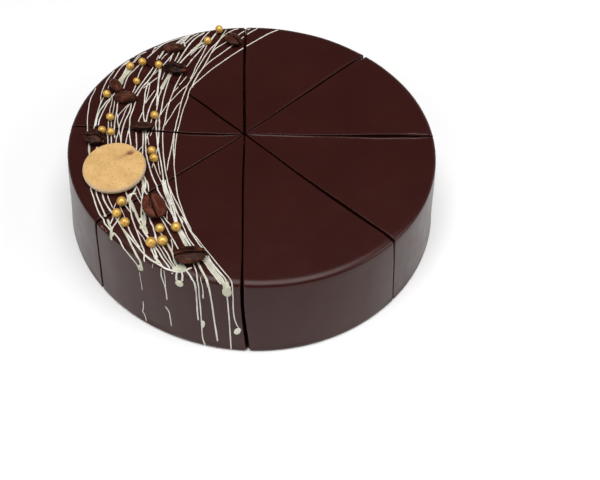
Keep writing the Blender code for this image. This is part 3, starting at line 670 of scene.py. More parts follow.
def skin(s, theta):
    """Point and outward normal at arc length s from the middle."""
    c, sn = math.cos(theta), math.sin(theta)
    s += smooth_between(RIM_SHIFT, s * 1000) / 1000
    out = bulge(theta)
    flat = FLAT_R + out
    if s <= flat:
        return Vector((s * c, s * sn, CAKE_H + wave_top(s * c, s * sn))), Vector((0, 0, 1))
    if s <= flat + RIM_LEN:
        a = (s - flat) / RIM_LEN * math.pi / 2
        slope = math.atan2(RIM * math.sin(a), RIM_IN * math.cos(a))
        n = Vector((math.sin(slope) * c, math.sin(slope) * sn, math.cos(slope)))
        r = flat + RIM_IN * math.sin(a)
        p = Vector((r * c, r * sn, SIDE_TOP + RIM * math.cos(a)))
        return p + n * wave_top(p.x, p.y), n
    t = min((s - flat - RIM_LEN) / SIDE_LEN, 0.995)
    z = SIDE_TOP * (1 - t)
    r = TOP_R + (FOOT_R - TOP_R) * t + out
    n = Vector((math.cos(SIDE_TILT) * c, math.cos(SIDE_TILT) * sn, math.sin(SIDE_TILT)))
    return Vector((r * c, r * sn, z)) + n * wave_side(theta, z), n


def cut_line(index, side):
    a = math.radians(CUTS[index % len(CUTS)])
    d = Vector((math.cos(a), math.sin(a)))
    n = Vector((-d.y, d.x)) * side
    c = Vector(CUT_CENTRE)
    inner, outer = WIDTHS[index % 8][0][1] / 1000, WIDTHS[index % 8][-1][1] / 1000
    p0 = c + n * (inner / 2)
    p1 = c + d * CUT_REACH + n * (outer / 2)
    return p0, p0 + (p1 - p0) * 1.6


def crossing(p, q, r, s):
    d, e = q - p, s - r
    t = ((r - p).x * e.y - (r - p).y * e.x) / (d.x * e.y - d.y * e.x)
    return p + d * t


def smooth_between(knots, t):
    """Eased value between (position, value) knots, in either order."""
    if (t - knots[0][0]) * (knots[-1][0] - knots[0][0]) <= 0:
        return knots[0][1]
    for (t0, v0), (t1, v1) in zip(knots, knots[1:]):
        if min(t0, t1) <= t <= max(t0, t1):
            f = (t - t0) / (t1 - t0)
            return v0 + (v1 - v0) * (0.4 * f + 0.6 * f * f * (3 - 2 * f))
    return knots[-1][1]


def wander(index, reach, z):
    over, down = WANDER[index % 8]
    f = max(0.0, min(1.0, (reach - 0.080) / 0.016))
    return (smooth_between(over, reach * 1000) + f * smooth_between(down, z * 1000)) / 1000


def gap_width(index, reach):
    return smooth_between(WIDTHS[index % 8], reach * 1000) / 1000


def uneven(index, reach):
    """Half of what a cut's width differs here from an even taper."""
    inner, outer = WIDTHS[index % 8][0][1] / 1000, WIDTHS[index % 8][-1][1] / 1000
    even = inner + (outer - inner) * min(reach / CUT_REACH, 1.1)
    return (gap_width(index, reach) - even) / 2 if reach < CUT_REACH else 0.0


def ridge(index, side, reach):
    for i, s, knots in RIDGES:
        if i == index % 8 and s == side:
            h = smooth_between(knots, reach * 1000) / 1000
            return h * (1.0 + 0.45 * noise.noise(Vector((reach * 420, i * 2.9, s * 3.1))))
    return 0.0


# where the icing still spans a cut: cut, and the reach where that begins
BRIDGED = {3: 0.0455, 4: 0.0625, 5: 0.0440}


def in_gap(p, extra=0.0):
    """Whether a point of the skin lies over one of the cuts."""
    v = Vector((p.x, p.y)) - Vector(CUT_CENTRE)
    for i, angle in enumerate(CUTS):
        a = math.radians(angle)
        d = Vector((math.cos(a), math.sin(a)))
        along = v.dot(d)
        if along <= 0:
            continue
        if i in BRIDGED and BRIDGED[i] < along < 0.0985:
            continue
        half = gap_width(i, along) / 2 + extra
        if abs(v.y * d.x - v.x * d.y - wander(i, along, p.z)) < half:
            return True
    return False


def bent(index, x, y, z):
    """Plan place of a slice's point, once the cuts beside it wander."""
    v = Vector((x, y)) - Vector(CUT_CENTRE)
    reach = v.length
    if reach < 1e-6:
        return Vector((x, y))
    low, high = CUTS[index], CUTS[(index + 1) % 8]
    if high < low:
        high += 360.0
    at = math.degrees(math.atan2(v.y, v.x))
    while at < (low + high) / 2 - 180.0:
        at += 360.0
    out = Vector((x, y))
    for which, angle, far, side in ((index, low, at - low, 1), (index + 1, high, high - at, -1)):
        w = max(0.0, min(1.0, 1.0 - (far - 1.5) / 18.0))
        if w > 0.0:
            a = math.radians(angle)
            shift = wander(which, reach, z) + side * uneven(which, reach)
            out += Vector((-math.sin(a), math.cos(a))) * (shift * w * w * (3 - 2 * w))
    r0 = math.hypot(x, y)
    k = max(0.0, min(1.0, (r0 - 0.03) / 0.03))
    return out * (1 + (r0 / max(out.length, 1e-6) - 1) * k)


# ------------------------------------------------------------------- slices
# Small bites where the knife broke the glaze:
# cut index, side, distance from the middle of the cuts, reach, extra rounding
BITES = [
    (0, +1, 0.0925, 0.0020, 0.0009), (0, +1, 0.0965, 0.0016, 0.0010),
    (0, +1, 0.1010, 0.0016, 0.0008), (0, -1, 0.0950, 0.0030, 0.0005),
    (1, -1, 0.1010, 0.0030, 0.0016), (1, +1, 0.1012, 0.0026, 0.0013),
    (6, +1, 0.1030, 0.0050, 0.0009), (6, -1, 0.1040, 0.0060, 0.0012),
    (5, +1, 0.0975, 0.0030, 0.0008), (5, -1, 0.0990, 0.0026, 0.0009),
    (3, +1, 0.0990, 0.0024, 0.0005), (7, -1, 0.1000, 0.0030, 0.0006),
]
ROUND_STEPS = 4
# lines beside a cut's rounded edge, and the height of a ridge on them
BESIDE = (0.00020, 0.00040, 0.00064, 0.00092, 0.00125)
RIB_SHAPE = (0.62, 1.0, 0.96, 0.62, 0.22, 0.0)
# extra rounding of each cut's edges at the rim and down the side
EDGE_WEAR = [0.00020, 0.00045, 0.00030, 0.00015, 0.00012, 0.00015, 0.00050, 0.00020]
# how far under the skin each cut starts to close, and over what depth
CLOSING = [
    (0.0028, 0.0038), (0.0028, 0.0038), (0.0030, 0.0038), (0.0028, 0.0036),
    (0.0026, 0.0036), (0.0026, 0.0036), (0.0030, 0.0040), (0.0028, 0.0038),
]


def edge_round(index, side, reach, z):
    """Rounding of a cut's edge at this distance from the cuts' middle."""
    base = min(0.00017, 0.10 * reach)
    base += 0.00010 * (0.5 + 0.5 * noise.noise(Vector((reach * 260, index * 3.7, side * 1.9))))\
        * min(1.0, reach / 0.01)
    if reach > 0.092:
        base += EDGE_WEAR[index] * min(1.0, (reach - 0.092) / 0.010)
    for i, s, at, width, extra in BITES:
        if i == index and s == side:
            base += extra * math.exp(-((reach - at) / width) ** 2) * (1.0 if z > CAKE_H - 0.006 else math.exp(-((CAKE_H - 0.006 - z) / 0.004) ** 2))
    return base


def line_circle(c, r, p, d):
    """Far crossing of the line p + t d with a circle."""
    q = p - c
    b = q.dot(d)
    disc = b * b - (q.dot(q) - r * r)
    return p + d * (-b + math.sqrt(max(disc, 0.0)))


# heights of the layers that a cut shows, from the top, and what each one is
LAYERS = [
    (0.20, 1), (0.33, 2), (0.46, 3), (0.58, 2), (0.68, 1), (0.77, 2), (0.87, 3), (1.0, 1),
]


def layer_at(z):
    f = 1.0 - z / CAKE_H
    for bottom, kind in LAYERS:
        if f <= bottom:
            return kind
    return 1


def slice_mesh(index, mats):
    a0, a1 = cut_line(index, +1)
    b0, b1 = cut_line(index + 1, -1)
    tip = crossing(a0, a1, b0, b1)
    da, db = (a1 - a0).normalized(), (b1 - b0).normalized()
    na, nb = Vector((-da.y, da.x)), Vector((db.y, -db.x))
    origin = Vector((0.0, 0.0))

    # stations: centre of the circle, its radius, height, normal's tilt
    stations = []
    for t in (0.008, 0.02, 0.04, 0.08, 0.13, 0.19, 0.26, 0.33, 0.40, 0.47, 0.54, 0.61,
              0.67, 0.73, 0.78, 0.83, 0.87, 0.905, 0.935, 0.955, 0.972, 0.986, 1.0):
        stations.append((tip * (1 - t), FLAT_R * t, CAKE_H, 90.0, "top"))
    flat_count = len(stations)
    for k in range(1, 15):
        a = math.radians(6.1 * k)
        r = FLAT_R + RIM_IN * math.sin(a)
        z = SIDE_TOP + RIM * math.cos(a)
        slope = math.atan2(RIM * math.sin(a), RIM_IN * math.cos(a))
        stations.append((origin, r, z, 90.0 - math.degrees(slope), "rim"))
    levels = sorted({round(CAKE_H * (1 - f), 6) for f, _ in LAYERS[:-1]}
                    | {0.0432, 0.0412, 0.0357, 0.0294, 0.0233, 0.0180, 0.0134, 0.0088, 0.0042, 0.0022},
                    reverse=True)
    for z in levels:
        t = 1 - z / SIDE_TOP
        stations.append((origin, TOP_R + (FOOT_R - TOP_R) * t, z, math.degrees(SIDE_TILT), "side"))
    for a in (-5.0, -30.0, -60.0, -90.0):
        q = math.radians(a)
        stations.append((origin, FOOT_R - FOOT + FOOT * math.cos(q), FOOT + FOOT * math.sin(q), a, "foot"))

    columns = 40
    verts, grid = [], []
    for c, r, z, tilt, part in stations:
        reach = (c + Vector((0.0, 0.0)) - tip).length + r
        reach_a = (line_circle(c, r, tip, da) - Vector(CUT_CENTRE)).length
        reach_b = (line_circle(c, r, tip, db) - Vector(CUT_CENTRE)).length
        ra = edge_round(index % 8, +1, reach_a, z)
        rb = edge_round((index + 1) % 8, -1, reach_b, z)
        row = []
        plan = []
        room = (line_circle(c, r, tip, da) - line_circle(c, r, tip, db)).length
        ra, rb = min(ra, 0.16 * room), min(rb, 0.16 * room)
        ribs = [b * min(1.0, room / 0.006) for b in BESIDE]
        high_a, high_b = (ridge(index, +1, reach_a), ridge(index + 1, -1, reach_b)) if part != "side" else (0, 0)
        high_a, high_b = high_a * min(1.0, room / 0.002), high_b * min(1.0, room / 0.002)
        for j in range(ROUND_STEPS + 1):          # from the cut face A inwards
            th = math.radians(90.0 * (1 - j / ROUND_STEPS))
            f = j / ROUND_STEPS
            plan.append((line_circle(c, r, tip + na * ra * (1 - math.sin(th)), da),
                         ra * (1 - math.cos(th)) - high_a * RIB_SHAPE[0] * f))
        for b, k in zip(ribs, RIB_SHAPE[1:]):
            plan.append((line_circle(c, r, tip + na * (ra + b), da), -high_a * k))
        pa, pb = plan[-1][0], line_circle(c, r, tip + nb * (rb + ribs[-1]), db)
        aa = math.atan2((pa - c).y, (pa - c).x)
        ab = math.atan2((pb - c).y, (pb - c).x)
        while ab < aa:
            ab += 2 * math.pi
        if ab - aa > math.pi:
            aa = ab = (aa + ab) / 2 - math.pi
        for j in range(1, columns):
            a = aa + (ab - aa) * j / columns
            plan.append((c + Vector((math.cos(a), math.sin(a))) * r, 0.0))
        for b, k in reversed(list(zip(ribs, RIB_SHAPE[1:]))):
            plan.append((line_circle(c, r, tip + nb * (rb + b), db), -high_b * k))
        for j in range(ROUND_STEPS + 1):
            th = math.radians(90.0 * j / ROUND_STEPS)
            f = 1 - j / ROUND_STEPS
            plan.append((line_circle(c, r, tip + nb * rb * (1 - math.sin(th)), db),
                         rb * (1 - math.cos(th)) - high_b * RIB_SHAPE[0] * f))
        for p, drop in plan:
            beta = math.radians(tilt)
            a = math.atan2(p.y, p.x)
            n = Vector((math.cos(beta) * math.cos(a), math.cos(beta) * math.sin(a), math.sin(beta)))
            if part == "top":
                n = Vector((0.0, 0.0, 1.0))
            v = Vector((p.x, p.y, z)) - n * drop
            q = bent(index, p.x, p.y, z)
            q = swell(q.x, q.y)
            if part in ("top", "rim"):
                v += n * wave_top(q.x, q.y)
            elif part == "side":
                v += n * wave_side(math.atan2(q.y, q.x), z)
            if v.z < 0.0:
                v.z = 0.0
            row.append(len(verts))
            verts.append(v)
        grid.append(row)

    faces, kinds = [], []

    def face(ids, kind):
        if len(set(ids)) >= 3 and len(set(ids)) == len(ids):
            faces.append(tuple(ids))
            kinds.append(kind)

    wide = len(grid[0])
    # tip: one edge from the top to the foot
    heights = [verts[grid[0][0]].z] + [verts[grid[k][0]].z for k in range(flat_count, len(grid))]
    tip_ids = []
    for h in heights:
        tip_ids.append(len(verts))
        verts.append(Vector((tip.x, tip.y, h)))
    for j in range(wide - 1):
        face((tip_ids[0], grid[0][j], grid[0][j + 1]), 0)
    for k in range(len(grid) - 1):
        for j in range(wide - 1):
            face((grid[k][j], grid[k + 1][j], grid[k + 1][j + 1], grid[k][j + 1]), 0)

    # Under its glaze the cake is soft, and each cut closes again a few
    # millimetres in: how far a face stands out there, past the flat cut.
    def skin_depth(x, y, z):
        r = math.hypot(x, y)
        side = (FOOT_R - (FOOT_R - TOP_R) * z / SIDE_TOP) if z < SIDE_TOP else TOP_R
        return min(CAKE_H - z, (side - r) * 0.985)

    def closing(x, y, z):
        reach = (Vector((x, y)) - Vector(CUT_CENTRE)).length
        cut = (index if which == 1 else index + 1) % 8
        half = gap_width(cut, reach) / 2
        start, over = CLOSING[cut]
        if cut == 2:                                  # its far end is shut
            k = max(0.0, min(1.0, (reach - 0.074) / 0.012))
            start, over = start + (0.0003 - start) * k, over + (0.0012 - over) * k
        low = max(0.0, min(1.0, 1.0 - z / 0.010))         # and every foot
        start, over = start + (0.0003 - start) * low, over + (0.0010 - over) * low
        depth = skin_depth(x, y, z)
        f = max(0.0, min(1.0, (depth - start) / over))
        # just under the skin the face draws back a little, so the cut is dark
        g = max(0.0, min(1.0, depth / 0.0009)) * (1 - f)
        return max(0.0, half - 0.00007) * f * f * (3 - 2 * f) - 0.00015 * g * min(1.0, reach / 0.008)

    # the two cut faces, as grids with the layers of the cake
    for col, d, n, which in ((0, da, na, 1), (wide - 1, db, nb, 2)):
        rng = random.Random(100 + index * 7 + which)
        seed = rng.random() * 50
        prev_column = tip_ids
        rows = list(range(flat_count, len(grid)))
        top_edge = [grid[k][col] for k in range(flat_count)]
        for k in range(flat_count):
            column = [top_edge[k]]
            base = verts[top_edge[k]]
            for m, row_k in enumerate(rows):
                z = verts[grid[row_k][col]].z
                out = closing(base.x, base.y, z)
                if row_k < len(grid) - 1:
                    q = Vector((base.x * 420, base.y * 420, z * 420 + seed))
                    out -= 0.00010 * (0.5 + noise.noise(q)) * min(1.0, skin_depth(base.x, base.y, z) / 0.003)
                column.append(len(verts))
                verts.append(Vector((base.x, base.y, min(z, base.z - 0.00001 * m))) - Vector((n.x, n.y, 0)) * out)
            for m in range(len(rows)):
                z_mid = (verts[column[m]].z + verts[column[m + 1]].z) / 2
                kind = layer_at(z_mid)
                if kind == 3 and (Vector((base.x, base.y))).length > 0.086:
                    kind = 2
                # within 7.5 mm of the skin the cut face takes the dark glaze: partly its coat and the knife's smear,
                # partly painted shade in the narrow gap
                if skin_depth(base.x, base.y, z_mid) < 0.0075:
                    kind = 0
                face((prev_column[m], prev_column[m + 1], column[m + 1], column[m]), kind)
            prev_column = column
        # from the last flat station out to the rim and side
        last = prev_column
        for m, row_k in enumerate(rows):
            edge_v = verts[grid[row_k][col]]
            inner_v = verts[last[m + 1]]
            width = (Vector((edge_v.x, edge_v.y)) - Vector((inner_v.x, inner_v.y))).length
            plain = Vector((verts[top_edge[-1]].x, verts[top_edge[-1]].y, inner_v.z))
            ring = [last[m + 1]]
            for back in (0.0070, 0.0050, 0.0034, 0.0022, 0.0012, 0.0005):
                c2 = 1 - back / max(width, 0.0001)
                if c2 <= 0.02:
                    ring.append(ring[-1])
                    continue
                q = plain.lerp(edge_v, c2)
                q -= Vector((n.x, n.y, 0)) * closing(q.x, q.y, q.z)
                ring.append(len(verts))
                verts.append(q)
            ring.append(grid[row_k][col])
            if m == 0:
                above = [last[0]] * len(ring)
            for e in range(len(ring) - 1):
                ids = []
                for i in (above[e], ring[e], ring[e + 1], above[e + 1]):
                    if i not in ids:
                        ids.append(i)
                # the outer 7 mm take the dark glaze too, partly coat and smear, partly painted shade
                face(ids, 2 if e == 0 and m > 12 else 0)
            above = ring

    # underside
    ring = [i for i in grid[-1]]
    centre = len(verts)
    mid = Vector((0.0, 0.0, 0.0))
    for i in ring:
        mid += verts[i]
    verts.append(Vector((mid.x / len(ring) * 0.6, mid.y / len(ring) * 0.6, 0.0)) + Vector((tip.x, tip.y, 0.0)) * 0.4)
    for j in range(len(ring) - 1):
        face((ring[j], centre, ring[j + 1]), 2)
    face((ring[0], tip_ids[-1], centre), 2)
    face((ring[-1], centre, tip_ids[-1]), 2)
    for v in verts:
        q = bent(index, v.x, v.y, v.z)
        v.x, v.y = swell(q.x, q.y)
    return mesh_object("cake_%02d" % (index + 1), verts, faces, mats, kinds, 42.0)


# ------------------------------------------------------------------ drizzle
def smooth_path(points):
    """Catmull-Rom through the points, at about 0.25 mm."""
    pts = [Vector((p[0], p[1])) for p in points]
    pts = [pts[0] * 2 - pts[1]] + pts + [pts[-1] * 2 - pts[-2]]
    out = []
    for i in range(1, len(pts) - 2):
        p0, p1, p2, p3 = pts[i - 1:i + 3]
        n = max(2, int((p2 - p1).length / 0.25))
        for k in range(n):
            t = k / n
            out.append(0.5 * ((2 * p1) + (p2 - p0) * t + (2 * p0 - 5 * p1 + 4 * p2 - p3) * t * t
                              + (3 * p1 - p0 - 3 * p2 + p3) * t * t * t))
    out.append(pts[-2])
    return out


def tube(verts, faces, pts, width, seed, cut_start, cut_end):
    """One flattened thread lying on the skin.  An end is drawn out thin,
    unless a cut ends it."""
    step = 3
    keep = pts[::step]
    if (keep[-1] - pts[-1]).length > 1e-6:
        keep.append(pts[-1])
    if len(keep) < 3:
        return
    places, normals = [], []
    for p in keep:
        q, n = skin(p.length / 1000.0, math.atan2(p.y, p.x))
        places.append(q)
        normals.append(n)
    length = sum((b - a).length for a, b in zip(places, places[1:]))
    run = 0.0
    sides = 8
    rings = []
    for i, (p, n) in enumerate(zip(places, normals)):
        if i:
            run += (p - places[i - 1]).length
        along = (places[min(i + 1, len(places) - 1)] - places[max(i - 1, 0)]).normalized()
        across = n.cross(along).normalized()
        end = min(run + (0.01 if cut_start else 0.0), length - run + (0.01 if cut_end else 0.0))
        taper = min(1.0, 0.55 + end / 0.0018)
        beat = 1.0 + 0.20 * noise.noise(Vector((run * 230, seed * 1.37, 0.3))) \
            + 0.12 * noise.noise(Vector((run * 800, seed * 2.1, 4.3)))
        side = max(0.0, min(1.0, (CAKE_H - 0.0005 - p.z) / 0.004))
        w = width * 0.001 * WIDTH_GAIN * (1.04 + 1.1 * p.y) * (1 + 0.25 * side) * (1 + 0.14 * max(0.0, min(1.0, (p.y - 0.045) / 0.03))) * taper * beat / 2
        h = (min(w, 0.00050) + 0.18 * max(w - 0.00050, 0.0)) * 0.95 * (1.0 + 0.15 * noise.noise(Vector((run * 400, seed, 8.8))))
        ring = []
        for k in range(sides):
            a = 2 * math.pi * k / sides
            up = math.sin(a)
            up = up * h if up > 0 else up * 0.00006
            ring.append(len(verts))
            verts.append(p + across * (math.cos(a) * w) + n * (up - 0.00002))
        rings.append(ring)
    for r0, r1 in zip(rings, rings[1:]):
        for k in range(sides):
            faces.append((r0[k], r0[(k + 1) % sides], r1[(k + 1) % sides], r1[k]))
    faces.append(tuple(reversed(rings[0])))
    faces.append(tuple(rings[-1]))


def spot(verts, faces, x, y, half_w, half_l, height, turn, seed):
    """A rounded dab of icing that hugs the skin."""
    s0, th0 = math.hypot(x, y), math.atan2(y, x)
    rings, per = 9, 26
    grid = []
    for i in range(1, rings + 1):
        f = i / rings
        row = []
        for j in range(per):
            a = 2 * math.pi * j / per
            wob = 1.0 + 0.10 * noise.noise(Vector((math.cos(a) * 1.3, math.sin(a) * 1.3, seed * 3.3)))
            q = math.radians(turn)
            lx, ly = math.cos(a) * f * half_w * wob, math.sin(a) * f * half_l * wob
            u = lx * math.cos(q) - ly * math.sin(q)
            w = lx * math.sin(q) + ly * math.cos(q)
            s = s0 + w
            th = th0 + u / max(min(s0, 103.0), 5.0)
            p, n = skin(s / 1000.0, th)
            h = height * 0.001 * math.sqrt(max(0.0, 1 - f ** 2.6))
            h += 0.00005 * noise.noise(Vector((p.x * 900, p.y * 900, p.z * 900))) * (1 - f)
            row.append(len(verts))
            verts.append(p + n * (h - (0.00012 if i == rings else 0.0)))
        grid.append(row)
    p, n = skin(s0 / 1000.0, th0)
    top = len(verts)
    verts.append(p + n * height * 0.001)
    for j in range(per):
        faces.append((top, grid[0][j], grid[0][(j + 1) % per]))
    for a, b in zip(grid, grid[1:]):
        for j in range(per):
            faces.append((a[j], b[j], b[(j + 1) % per], a[(j + 1) % per]))
    low = len(verts)
    verts.append(p - n * 0.00012)
    for j in range(per):
        faces.append((low, grid[-1][(j + 1) % per], grid[-1][j]))


def run_on(pts):
    """A thread whose end stops beside a bean, a pearl or the biscuit was laid
    before it, so it runs on under it."""
    pts = [Vector(p) for p in pts]
    things = [(Vector(BISCUIT_AT) * 1000, BISCUIT_R * 1000, 7.0)]
    things += [(Vector(b[1]) * 1000, 0.5 * (b[2] + b[3]) * 500, 4.5) for b in BEANS]
    things += [(Vector((x, y)), d / 2, 3.6) for x, y, d in PEARLS]
    for flip in (False, True):
        if flip:
            pts.reverse()
        end = pts[-1]
        way = (end - pts[-2]).normalized()
        best = None
        for c, r, room in things:
            near = (c - end).length - r
            if c.y > end.y:
                room = 2.2
            if -r < near < room and way.dot((c - end).normalized()) > (0.35 if near < 1.5 else 0.72):
                if best is None or near < best[0]:
                    best = (near, c, r)
        if best is not None:
            go = (way + (best[1] - end).normalized() * 0.35).normalized()
            pts.append(end + go * (max(best[0], 0.0) + min(best[2] * 0.9, 2.2) + 0.8))
        if flip:
            pts.reverse()
    return pts


def drizzle(mat):
    verts, faces, painted_shade_weights = [], [], []
    for seed, (width, pts) in enumerate(THREADS):
        run, was_cut = [], False
        pts = run_on(pts)
        for p in smooth_path(pts) + [None]:
            if p is not None:
                q, _ = skin(p.length / 1000.0, math.atan2(p.y, p.x))
            if p is None or in_gap(q, 0.00002):
                if len(run) > 4:
                    tube(verts, faces, run, width, seed, was_cut, p is not None)
                run, was_cut = [], p is not None
            else:
                run.append(p)
        # the wider the thread, the more painted shade
        painted_shade_weights += [max(0.0, min(1.0, (width - 0.95) / 0.55))] * (len(verts) - len(painted_shade_weights))
    for seed, (x, y, half_w, half_l, height, turn) in enumerate(SPOTS):
        spot(verts, faces, x, y, half_w, half_l, height, turn, seed)
        # dabs carry painted shade by their width, a fixed amount down the side
        painted_shade_weights += [0.3 if y < -120.0 else min(1.0, half_w / 1.2)] * (len(verts) - len(painted_shade_weights))
    obj = mesh_object("drizzle", verts, faces, [mat], None, 60.0)
    tone = obj.data.color_attributes.new("icing_painted_shade", "FLOAT_COLOR", "POINT")
    for i, v in enumerate(painted_shade_weights):
        tone.data[i].color = (v, v, v, 1.0)
    return obj


# ------------------------------------------------------------------- pearls
def pearls(mat):
    verts, faces = [], []
    for seed, (x, y, d) in enumerate(PEARLS):
        r = d / 2000.0
        cx, cy = x / 1000.0, y / 1000.0
        cz = CAKE_H + r * 0.985
        rings, per = 20, 32
        squash = 1.0 - 0.02 * ((seed * 7) % 3) / 2
        grid = []
        for i in range(1, rings):
            a = math.pi * i / rings
            row = []
            for j in range(per):
                b = 2 * math.pi * j / per
                d3 = Vector((math.sin(a) * math.cos(b), math.sin(a) * math.sin(b), math.cos(a)))
                k = 1.0 + 0.018 * noise.noise(d3 * 1.6 + Vector((seed * 5.1, 0, 0))) \
                    + 0.006 * noise.noise(d3 * 6.0 + Vector((0, seed * 3.3, 0)))
                row.append(len(verts))
                verts.append(Vector((cx + d3.x * r * k, cy + d3.y * r * k, cz + d3.z * r * k * squash)))
            grid.append(row)
        top, low = len(verts), len(verts) + 1
        verts.append(Vector((cx, cy, cz + r * squash)))
        verts.append(Vector((cx, cy, cz - r * squash)))
        for j in range(per):
            faces.append((top, grid[0][j], grid[0][(j + 1) % per]))
            faces.append((low, grid[-1][(j + 1) % per], grid[-1][j]))
        for a, b in zip(grid, grid[1:]):
            for j in range(per):
                faces.append((a[j], b[j], b[(j + 1) % per], a[(j + 1) % per]))
    return mesh_object("pearls", verts, faces, [mat])


# -------------------------------------------------------------------- beans
def bean(name, at, length, width, thick, turn, roll, pitch, crease_up, mat):
    swing, waves, deep = BEAN_CREASE[name]
    number = int(name[-2:])
    rings, per = 46, 60
    verts, tones, faces = [], [], []

    def place(along, around):
        """Point on the bean's skin, with its crease and its painted weights."""
        a = math.pi * along
        x = -math.cos(a)
        full = math.sin(a) ** 0.88                      # blunter ends
        y, z = math.cos(around) * full, math.sin(around) * full
        groove_shade = chaff = warm = 0.0
        up = z
        if z >= 0.0:
            z = z * 0.42
            off, slant = BEAN_SLANT.get(number, (0.0, 0.0))
            line = (swing * math.sin(x * waves * 1.7 + number) + off + slant * x) * full
            gap = (y - line)
            sigma = 0.080 + 0.020 * math.sin(x * 5 + number)
            g = math.exp(-(gap / sigma) ** 2)
            lip = math.exp(-((abs(gap) - 2.5 * sigma) / (1.7 * sigma)) ** 2)
            shape = min(1.0, full / 0.42) ** 0.7 * min(1.0, up / max(full, 0.05) * 2.2)
            z += (-0.36 * deep * g + 0.055 * lip) * shape
            # painted shade down the crease
            groove_shade = min(1.0, (1.15 * math.exp(-(gap / (1.45 * sigma)) ** 2)) * shape)
            chaff = 0.75 * math.exp(-(gap / (0.32 * sigma)) ** 2) * shape \
                * max(0.0, 0.45 + 0.9 * noise.noise(Vector((x * 7, number, 0.7))))
            warm = 0.30 * (1 - groove_shade) * BEAN_WARMTH[number - 1]
        else:
            warm = 0.45 * max(0.0, min(1.0, -up * 1.4)) * BEAN_WARMTH[number - 1]
            # the faint groove on a domed back below is also painted dark: painted shade
            if number in BEAN_BACK:                     # faint groove on a domed back
                place_y, run = BEAN_BACK[number]
                g = math.exp(-((y - (place_y + run * x + 0.10 * math.sin(2.4 * x))) / 0.105) ** 2)
                g *= min(1.0, full / 0.5) ** 2 * max(0.0, min(1.0, -up * 2.0))
                z += 0.085 * g
                groove_shade = 0.72 * g
        # small shrink wrinkles along the length
        wr = 0.034 * noise.noise(Vector((x * 2.6, y * 6.5, z * 6.5 + number)))
        wr += 0.016 * noise.noise(Vector((x * 7, y * 15, z * 15 + number)))
        s = 1.0 + wr
        v = Vector((x * length / 2 * (1 + wr * 0.4), y * width / 2 * s, z * thick * 0.70 * s))
        vein = max(0.0, min(1.0, (0.02 - noise.noise(Vector((x * 5.5, y * 8.0 + number, z * 8.0)))) / 0.22))
        # painted shade on the side that faces down, added to the char
        underside_shade = max(0.0, min(1.0, (-up / max(full, 0.1) - (0.25 if not crease_up else -0.20)) / 0.5)) \
            if crease_up else max(0.0, min(1.0, (up / max(full, 0.1) - 0.10) / 0.5))
        char_and_underside_shade = 0.42 * vein * (1 - 0.5 * BEAN_WARMTH[number - 1] / 1.8) + 0.55 * underside_shade + BEAN_CHAR[number - 1] * (1.0 + 0.9 * noise.noise(Vector((x * 2.4, y * 3.1, z * 3.1 + 2.0 * number))))
        if number == 3:                                 # its end broke open, red-brown inside
            tip = max(0.0, min(1.0, (x - 0.62) / 0.25))
            char_and_underside_shade, warm = char_and_underside_shade * (1 - tip), warm + 0.55 * tip
        # bean 8's second furrow below is painted dark as shade, with a pale line beside it
        if number == 8 and z > 0:                       # a second, paler furrow on the right half
            far = y + 0.30 - 0.14 * math.sin(1.6 * x + 0.4)
            f2 = math.exp(-(far / 0.055) ** 2) * max(0.0, 1 - (x / 0.78) ** 2)
            f3 = math.exp(-((far - 0.15) / 0.07) ** 2) * max(0.0, 1 - (x / 0.70) ** 2)
            groove_shade, chaff = max(groove_shade, 0.75 * f2), max(chaff, 0.40 * f3)
            z -= 0.07 * f2
            v = Vector((v.x, v.y, z * thick * 0.70 * s))
        # red weight: char and painted shade; green: chaff; blue: warmth
        tones.append((max(groove_shade, min(0.9, char_and_underside_shade)), chaff, warm, 1.0))
        return v

    grid = []
    for i in range(1, rings):
        row = []
        for j in range(per):
            # closer columns about the groove
            b = 2 * math.pi * j / per
            b += 0.30 * math.sin(2 * b) * (1 if math.sin(b) > 0 else 0.2)
            row.append(len(verts))
            verts.append(place(i / rings, b))
        grid.append(row)
    first, last = len(verts), len(verts) + 1
    verts.append(Vector((-length / 2, 0, 0)))
    verts.append(Vector((length / 2, 0, 0)))
    tones.append((0.3, 0, 0.2, 1.0))
    tones.append((0.3, 0, 0.2, 1.0))
    for j in range(per):
        faces.append((first, grid[0][(j + 1) % per], grid[0][j]))
        faces.append((last, grid[-1][j], grid[-1][(j + 1) % per]))
    for a, b in zip(grid, grid[1:]):
        for j in range(per):
            faces.append((a[j], a[(j + 1) % per], b[(j + 1) % per], b[j]))
    rot = Euler((math.radians(roll), math.radians(pitch), math.radians(turn)), "XYZ").to_matrix()
    if not crease_up:
        rot = rot @ Matrix.Rotation(math.radians(180.0), 3, "X")
    verts = [rot @ v for v in verts]
    low = min(v.z for v in verts)
    shift = Vector((at[0], at[1], CAKE_H + TOUCH_GAP * 0.4 - low))
    verts = [v + shift for v in verts]
    obj = mesh_object(name + "_look", verts, faces, [mat])
    tone = obj.data.color_attributes.new("bean_tone_and_shade", "FLOAT_COLOR", "POINT")
    tone.data.foreach_set("color", [c for t in tones for c in t])
    return obj


